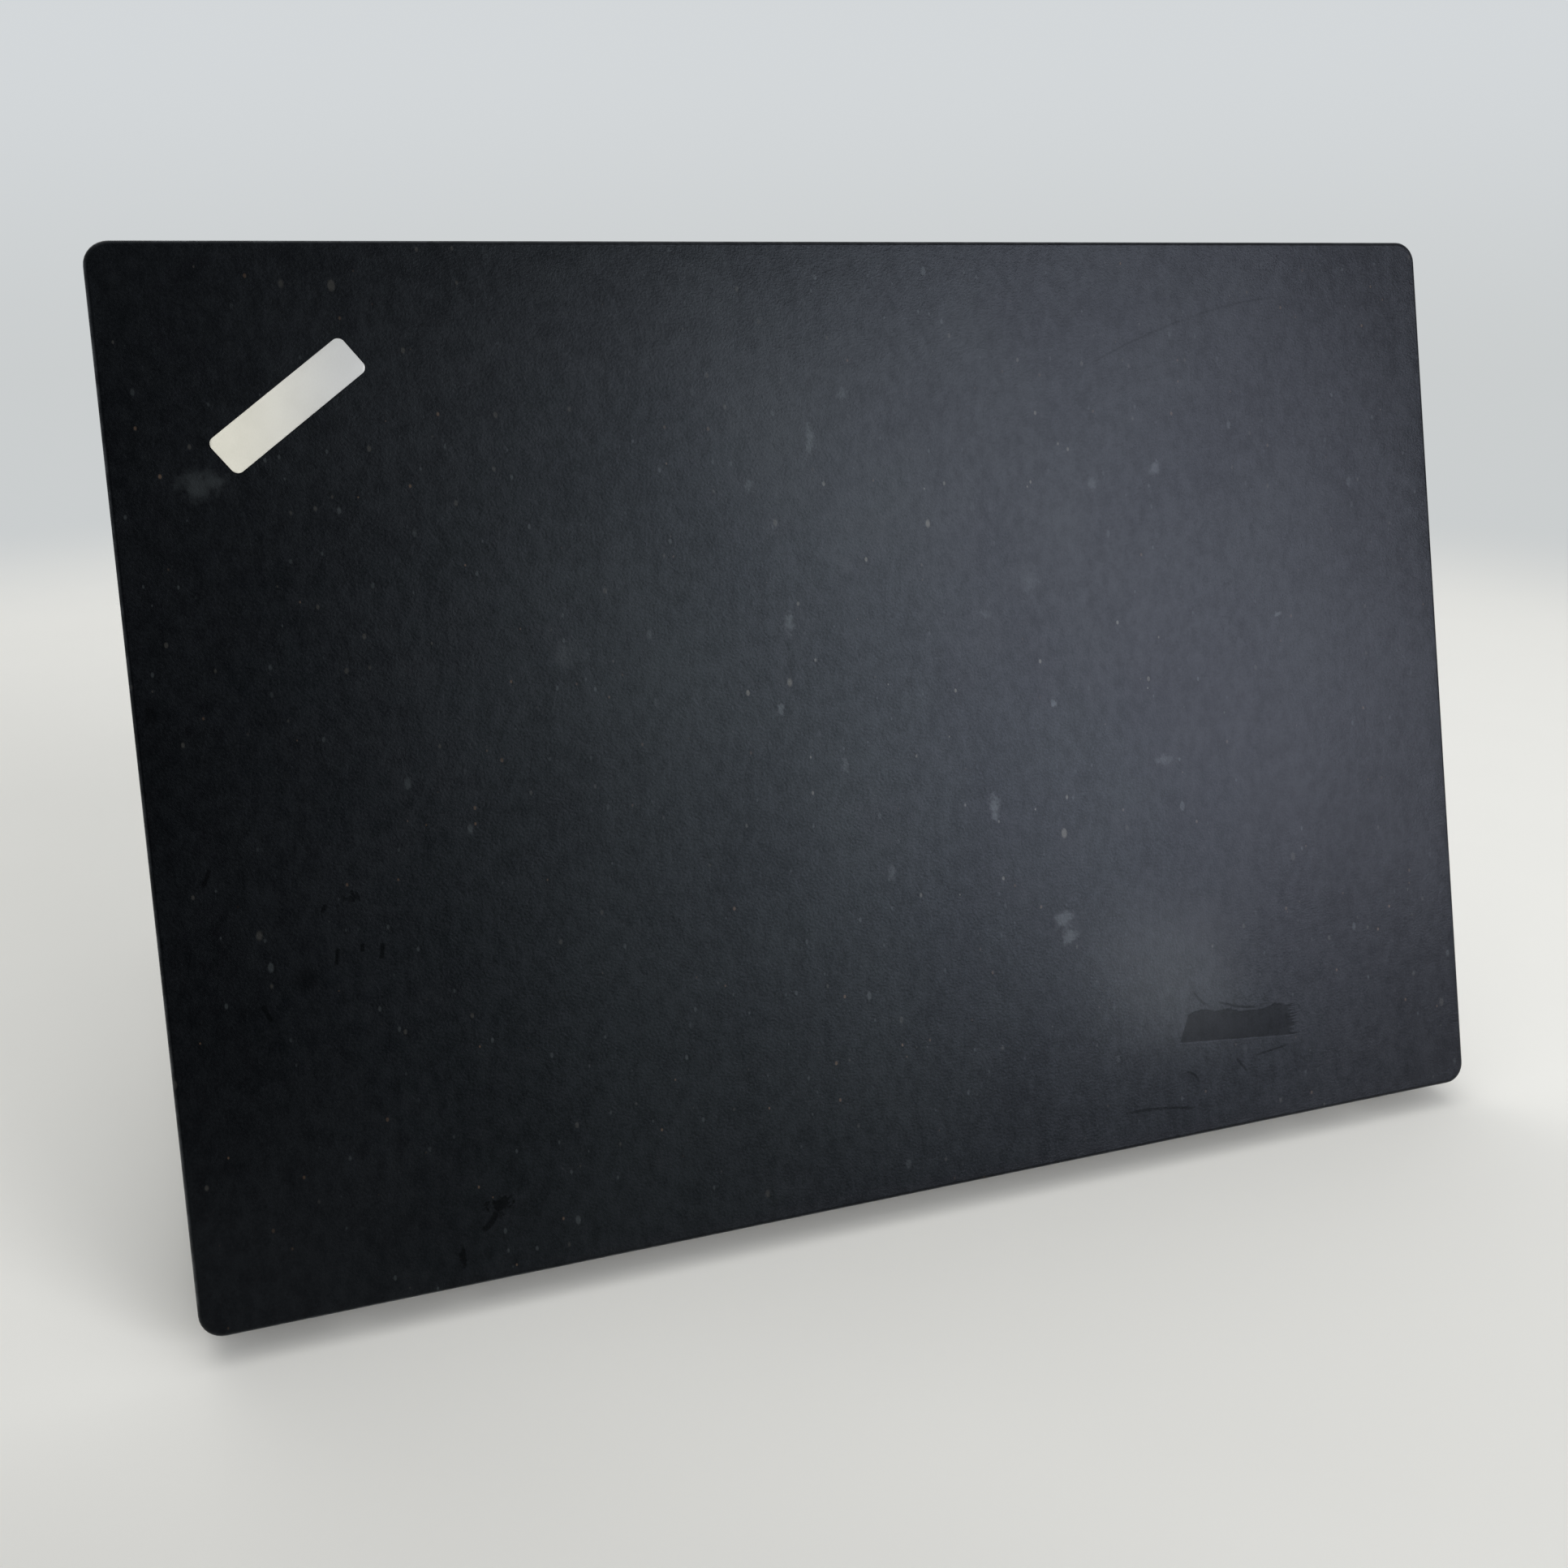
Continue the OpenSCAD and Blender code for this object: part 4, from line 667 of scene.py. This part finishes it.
def print_keys(body, legends):
    """Prints legends, (text, x, u, height) each, onto the hollow tops of one body's keycaps."""
    node = nodes[body]
    tree = BVHTree.FromPolygons(
        [vertex.co for vertex in node.data.vertices],
        [tuple(face.vertices) for face in node.data.polygons],
    )
    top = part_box(body)[1].z
    built = bmesh.new()
    for text, x_mm, u_mm, height_mm in legends:
        mesh = glyph(text, height_mm)
        middle = Vector((x_mm * MM, AXIS.y - u_mm * MM, 0))
        start = len(built.verts)
        built.from_mesh(mesh)
        bpy.data.meshes.remove(mesh)
        built.verts.ensure_lookup_table()
        for vertex in built.verts[start:]:
            above = Vector((vertex.co.x + middle.x, vertex.co.y + middle.y, top + MM))
            hit = tree.ray_cast(above, Vector((0, 0, -1)))[0]
            vertex.co = Vector((above.x, above.y, (hit.z if hit else top) + INK_LIFT))
    add_mesh(body + "_legends", built, INK, body)


SHIFTED = dict(zip("`1234567890-=[]\\;',./", "~!@#$%^&*()_+{}|:\"<>?"))


def row_legends(row, units, texts):
    """Places of one row's legends: upper left on each key, with the shifted sign on top."""
    placed = []
    start = 0.0
    u = row_middle(row) - LEGEND_RISE_MM
    for unit, text in zip(units, texts):
        left = (start - ROW_UNITS / 2) * UNIT_MM + CAP_INSET_MM
        start += unit
        if text in SHIFTED:
            placed.append((SHIFTED[text], left + 4.0, u - 1.3, SIGN_MM))
            placed.append((text, left + 4.0, u + 3.3, SIGN_MM))
        elif len(text) == 1:
            placed.append((text, left + 4.2, u, LETTER_MM))
        elif text:
            placed.append((text, left + 3.0 + 0.52 * WORD_MM * len(text), u, WORD_MM))
    return placed


FUNCTION_TEXTS = ["Esc"] + [f"F{number}" for number in range(1, 13)] + ["Home", "End", "Ins", "Del"]
FUNCTION_UNIT_MM = UNIT_MM * ROW_UNITS / len(FUNCTION_TEXTS)
print_keys("function_keys", [
    (text, (index + 0.5) * FUNCTION_UNIT_MM - ROW_UNITS * UNIT_MM / 2, row_middle(0), 2.1)
    for index, text in enumerate(FUNCTION_TEXTS)
])
print_keys("number_keys", row_legends(1, [1] * 13, "`1234567890-="))
print_keys("upper_keys", row_legends(2, [1.5] + [1] * 13, ["Tab", *"QWERTYUIOP[]\\"]))
print_keys("home_keys", row_legends(3, [1.75] + [1] * 11, ["Caps", *"ASDFGHJKL;'"]))
print_keys("lower_keys", row_legends(4, [2.25] + [1] * 10, ["", *"ZXCVBNM,./"]))
print_keys("bottom_keys", row_legends(
    5, [1, 1, 1, 1, 5, 1, 1, 1], ["Fn", "Ctrl", "Sys", "Alt", "", "Alt", "Prt", "Ctrl"]
))

# Words on the wide keys that are nodes of their own: node, text, row, units left of the key
WIDE_KEYS = [
    ("shift_keys", "Shift", 4, (0, 12.25)),
    ("backspace_key", "Back", 1, (13,)),
    ("enter_key", "Enter", 3, (12.75,)),
]
for key, text, row, starts in WIDE_KEYS:
    print_keys(key, [
        (text, (start - ROW_UNITS / 2) * UNIT_MM + 9.0, row_middle(row) - LEGEND_RISE_MM, WORD_MM)
        for start in starts
    ])

# The arrow cluster is two rows of half keys from unit 12 on
ARROW_TEXTS = [["PgUp", "\u2191", "PgDn"], ["\u2190", "\u2193", "\u2192"]]
ARROW_LEFT_MM = (12.5 - ROW_UNITS / 2) * UNIT_MM
print_keys("arrow_keys", [
    (text, ARROW_LEFT_MM + column * UNIT_MM, row_middle(5) + (half - 0.5) * ROW_MM / 2, 1.9)
    for half, texts in enumerate(ARROW_TEXTS)
    for column, text in enumerate(texts)
])


def power_symbol():
    """Open ring and stroke on the power button."""
    low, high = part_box("power_button")
    middle = (low + high) / 2
    ring_in, ring_out, gap, steps = 1.15, 1.42, 35, 40
    built = bmesh.new()

    def corner(x_mm, y_mm):
        return built.verts.new((middle.x + x_mm * MM, middle.y + y_mm * MM, high.z + INK_LIFT))

    pairs = []
    for index in range(steps + 1):
        angle = math.radians(gap + (360 - 2 * gap) * index / steps)
        across, up = math.sin(angle), math.cos(angle)
        pairs.append([corner(across * radius, up * radius) for radius in (ring_in, ring_out)])
    for one, other in zip(pairs, pairs[1:]):
        built.faces.new((one[0], one[1], other[1], other[0]))
    stroke = ((-0.14, 0.35), (0.14, 0.35), (0.14, 1.7), (-0.14, 1.7))
    built.faces.new([corner(x_mm, y_mm) for x_mm, y_mm in stroke])
    bmesh.ops.recalc_face_normals(built, faces=built.faces)
    add_mesh("power_symbol", built, INK, "power_button")


power_symbol()

CAMERA_U_MM = 206.1
LENS_V_MM = 4.25
MICROPHONE_X_MM = (-24.9, -23.1, 23.1, 24.9)


def turned(built, rings, x_mm, u_mm, steps=32):
    """Adds a round piece on the lid: rings of (radius, v), the first closed by a cap."""
    made = []
    for radius, v_mm in rings:
        made.append([
            built.verts.new(on_lid(
                x_mm + radius * math.cos(math.tau * index / steps),
                u_mm + radius * math.sin(math.tau * index / steps), v_mm,
            ))
            for index in range(steps)
        ])
    for one, other in zip(made, made[1:]):
        for index in range(steps):
            after = (index + 1) % steps
            built.faces.new((one[index], one[after], other[after], other[index]))
    built.faces.new(made[0])


def lens_glass():
    """Coated lens: nearly black glass with a violet cast and the rings of its barrel."""
    surface = Surface("lens_glass", (0.004, 0.004, 0.009), 0.06, specular=0.9)
    middle = on_lid(0, CAMERA_U_MM, LENS_V_MM) * 1000
    from_middle = {0: surface.place, 1: tuple(middle)}
    away = surface.node("ShaderNodeVectorMath", from_middle, operation="DISTANCE")
    rings = surface.math("SINE", surface.math("MULTIPLY", away.outputs["Value"], 14.0))
    bright = surface.ramp(rings, 0.2, 0.9)
    surface.set("Base Color", surface.mix(bright, (0.003, 0.003, 0.008), (0.022, 0.020, 0.034)))
    surface.set("Roughness", surface.ramp(surface.noise(0.6, 2.0, 0.5), 0.3, 0.7, 0.05, 0.10))
    return surface


def camera_details():
    """Lens behind the camera's window, and two microphone holes on each side of it."""
    lens = bmesh.new()
    dome = [(0.35, 0.07), (0.8, 0.055), (1.2, 0.03), (1.5, 0.0)]
    turned(lens, [(radius, LENS_V_MM - rise) for radius, rise in dome], 0, CAMERA_U_MM)
    bmesh.ops.recalc_face_normals(lens, faces=lens.faces)
    add_mesh("camera_lens", lens, lens_glass(), "lid")
    holes = bmesh.new()
    rim = [(0.34, 0.01), (0.42, 0.04), (0.62, 0.04), (0.70, 0.0)]
    for x_mm in MICROPHONE_X_MM:
        turned(holes, [(radius, LID_FACE_V - rise) for radius, rise in rim], x_mm, CAMERA_U_MM)
    bmesh.ops.recalc_face_normals(holes, faces=holes.faces)
    add_mesh("microphone_ports", holes, SURFACES["fan_plastic"], "lid")


camera_details()

# The bottom cover's screws, x and u, each also mirrored to -x
COVER_SCREWS_MM = [(32, 13), (86, 13), (52, 206.8), (140, 206.8)]
DRIVE_LOBES = 6
DRIVE_STEPS = DRIVE_LOBES * 8


def drive_cutter(built, x_mm, u_mm, floor, ceiling):
    """Adds a six-lobed prism between two heights."""
    ends = []
    for z in (floor, ceiling):
        ring = []
        for step in range(DRIVE_STEPS):
            angle = math.tau * step / DRIVE_STEPS
            radius = (0.88 + 0.16 * math.cos(DRIVE_LOBES * angle)) * MM
            x = x_mm * MM + radius * math.cos(angle)
            y = AXIS.y - u_mm * MM + radius * math.sin(angle)
            ring.append(built.verts.new((x, y, z)))
        ends.append(ring)
        built.faces.new(ring)
    for index in range(DRIVE_STEPS):
        after = (index + 1) % DRIVE_STEPS
        built.faces.new((ends[0][index], ends[0][after], ends[1][after], ends[1][index]))


def sink_screw_drives():
    """Cuts a drive into the head of every screw of the bottom cover."""
    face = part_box("base_screws")[0].z
    built = bmesh.new()
    for x_mm, u_mm in COVER_SCREWS_MM:
        for side in (-1, 1):
            drive_cutter(built, side * x_mm, u_mm, face - 0.2 * MM, face + 0.35 * MM)
    bmesh.ops.recalc_face_normals(built, faces=built.faces)
    mesh = bpy.data.meshes.new("drive_cutter")
    built.to_mesh(mesh)
    built.free()
    cutter = bpy.data.objects.new("drive_cutter", mesh)
    scene.collection.objects.link(cutter)
    cutter.hide_render = True
    weld = nodes["base_screws"].modifiers.new("weld", "WELD")
    weld.merge_threshold = WELD_DISTANCE
    drive = nodes["base_screws"].modifiers.new("drive", "BOOLEAN")
    drive.object = cutter
    drive.operation = "DIFFERENCE"


sink_screw_drives()

STICK_RUBBER = moulded("stick_rubber", (0.055, 0.062, 0.078), 0.72, 0.5, 0.05, 0.3)
nodes["pointing_stick"].material_slots[0].material = STICK_RUBBER.material

# ---- Floor, light and camera ----

PALE_WALL = (0.655, 0.682, 0.700)
HORIZON = (0.595, 0.617, 0.622)
FLOOR_RADIUS = 3.0
FADE_START = 0.62
FADE_END = 1.05


def add_floor():
    """Pale table top that fades into the colour of the background far from the object.

    It is painted darker towards the lamps, which would otherwise make it too bright there, and in
    the corner towards +x and the lamps: painted shade in both places.
    """
    built = bmesh.new()
    bmesh.ops.create_circle(built, cap_ends=True, segments=128, radius=FLOOR_RADIUS)
    mesh = bpy.data.meshes.new("floor")
    built.to_mesh(mesh)
    built.free()
    floor = bpy.data.objects.new("floor", mesh)
    scene.collection.objects.link(floor)
    surface = Surface("floor_paper", (0.80, 0.785, 0.745), 0.85, specular=0.15)
    aside, toward_lamps, _ = surface.parts(surface.place)
    paper = surface.mix(surface.noise(60, 3.0, 0.5), (0.788, 0.773, 0.734), (0.808, 0.793, 0.752))
    # Painted shade: the floor is drawn darker in the corner towards +x and the lamps.
    corner = surface.ramp(surface.math("ADD", aside, toward_lamps), 190, 400)
    paper = surface.mix(corner, paper, (0.638, 0.626, 0.594))
    # Painted shade: the floor is drawn darker towards the lamps, so their light does not make it
    # too bright.
    paper = surface.mix(surface.ramp(toward_lamps, 60, 900), paper, (0.40, 0.393, 0.372))
    surface.set("Base Color", paper)
    far = surface.ramp(surface.length(surface.object_place), FADE_START, FADE_END)
    seen = surface.node("ShaderNodeLightPath").outputs["Is Camera Ray"]
    strength = surface.ramp(seen, 0, 1, 0.03, 1.0)
    glow = surface.node("ShaderNodeEmission", {"Color": (*HORIZON, 1.0), "Strength": strength})
    surface.blend(far, surface.shader.outputs[0], glow.outputs[0], "Material Output")
    mesh.materials.append(surface.material)


def add_world():
    """Pale wall as the backdrop, and an even room of the same tone for light and reflections.

    The room is dark on one side, which the lid's left half mirrors in the photograph.
    """
    world = bpy.data.worlds.new("studio")
    scene.world = world
    world.use_nodes = True
    graph = Graph(world.node_tree)
    wall = world.node_tree.nodes["Background"]
    direction = graph.node("ShaderNodeTexCoord").outputs["Generated"]
    height = graph.ramp(graph.parts(direction)[2], -0.08, 0.12)
    graph.feed(wall.inputs["Color"], graph.mix(height, HORIZON, PALE_WALL))
    dark_side = Vector((0.20, 0.97, -0.08)).normalized()
    facing = graph.node(
        "ShaderNodeVectorMath", {0: direction, 1: dark_side}, operation="DOT_PRODUCT"
    ).outputs["Value"]
    shade = graph.ramp(facing, 0.55, 0.97, 0.62, 0.01)
    room = graph.node("ShaderNodeBackground", {"Color": (0.94, 0.97, 1.0, 1.0), "Strength": shade})
    seen = graph.node("ShaderNodeLightPath").outputs["Is Camera Ray"]
    graph.blend(seen, room.outputs[0], wall.outputs[0], "World Output")


def add_lamp(name, place, target, size, radiance, color=(1, 1, 1), roll=0.0):
    """Soft rectangular lamp of this brightness, aimed at a point and turned in its own plane."""
    width, height = size
    light = bpy.data.lights.new(name, "AREA")
    light.shape = "RECTANGLE"
    light.size = width
    light.size_y = height
    light.energy = radiance * math.pi * width * height
    light.color = color
    lamp = bpy.data.objects.new(name, light)
    lamp.location = place
    aim = (Vector(target) - Vector(place)).to_track_quat("-Z", "Y").to_matrix()
    lamp.rotation_euler = (aim @ Matrix.Rotation(math.radians(roll), 3, "Z")).to_euler()
    lamp.visible_camera = False
    scene.collection.objects.link(lamp)
    return lamp


LID_MIDDLE = Vector((0.0, 0.1, 0.1))
WINDOW_DISTANCE = 2.0
DAYLIGHT = (0.97, 0.98, 1.0)


def toward(azimuth, elevation, distance):
    """A point seen from the lid at this azimuth, counted from +Y towards +X, and elevation."""
    a, e = math.radians(azimuth), math.radians(elevation)
    step = Vector((math.sin(a) * math.cos(e), math.cos(a) * math.cos(e), math.sin(e)))
    return LID_MIDDLE + step * distance


def add_window(name, azimuth, elevation, size, radiance, roll=0.0):
    """Lamp that the lid mirrors as a broad soft sheen."""
    place = toward(azimuth, elevation, WINDOW_DISTANCE)
    add_lamp(name, place, LID_MIDDLE, size, radiance, DAYLIGHT, roll)


def add_glint():
    """Narrow lamp that leaves one faint warm glow on the lid above the wiped patch."""
    target = on_lid(-68, 36, LID_BACK_V)
    mirrored = Vector((-0.511, 0.859, 0.003))
    lamp = add_lamp("glint", target + mirrored * 1.6, target, (0.03, 0.03), 0.12, (1.0, 0.99, 0.86))
    lamp.data.spread = math.radians(1.2)


def add_camera():
    """Camera solved from the four edges of the lid in the photograph."""
    data = bpy.data.cameras.new("camera")
    data.sensor_width = 36.0
    data.lens = 35.515
    data.shift_y = -0.02878
    data.clip_start = 0.01
    tilt_down, heading = 17.516, 160.864
    camera = bpy.data.objects.new("camera", data)
    camera.location = (0.13062, 0.39225, 0.21405)
    camera.rotation_euler = (math.radians(90 - tilt_down), 0.0, math.radians(heading))
    scene.collection.objects.link(camera)
    scene.camera = camera


add_floor()
add_world()
add_camera()
add_window("window", -33, 16, (0.80, 1.15), 10.6, 12)
add_window("window_side", -14, 15, (0.46, 1.1), 3.0)
add_window("window_low", -31, 2, (0.95, 0.10), 8.0)
add_lamp("ceiling", (0.0, 0.0, 2.2), (0, 0, 0), (2.2, 2.2), 0.74, (1.0, 0.99, 0.95))
add_lamp("front", (0.7, -1.7, 1.4), (0.1, -0.3, 0.0), (1.3, 1.3), 1.35, (1.0, 0.99, 0.96))
add_glint()
scene.view_settings.view_transform = "Standard"
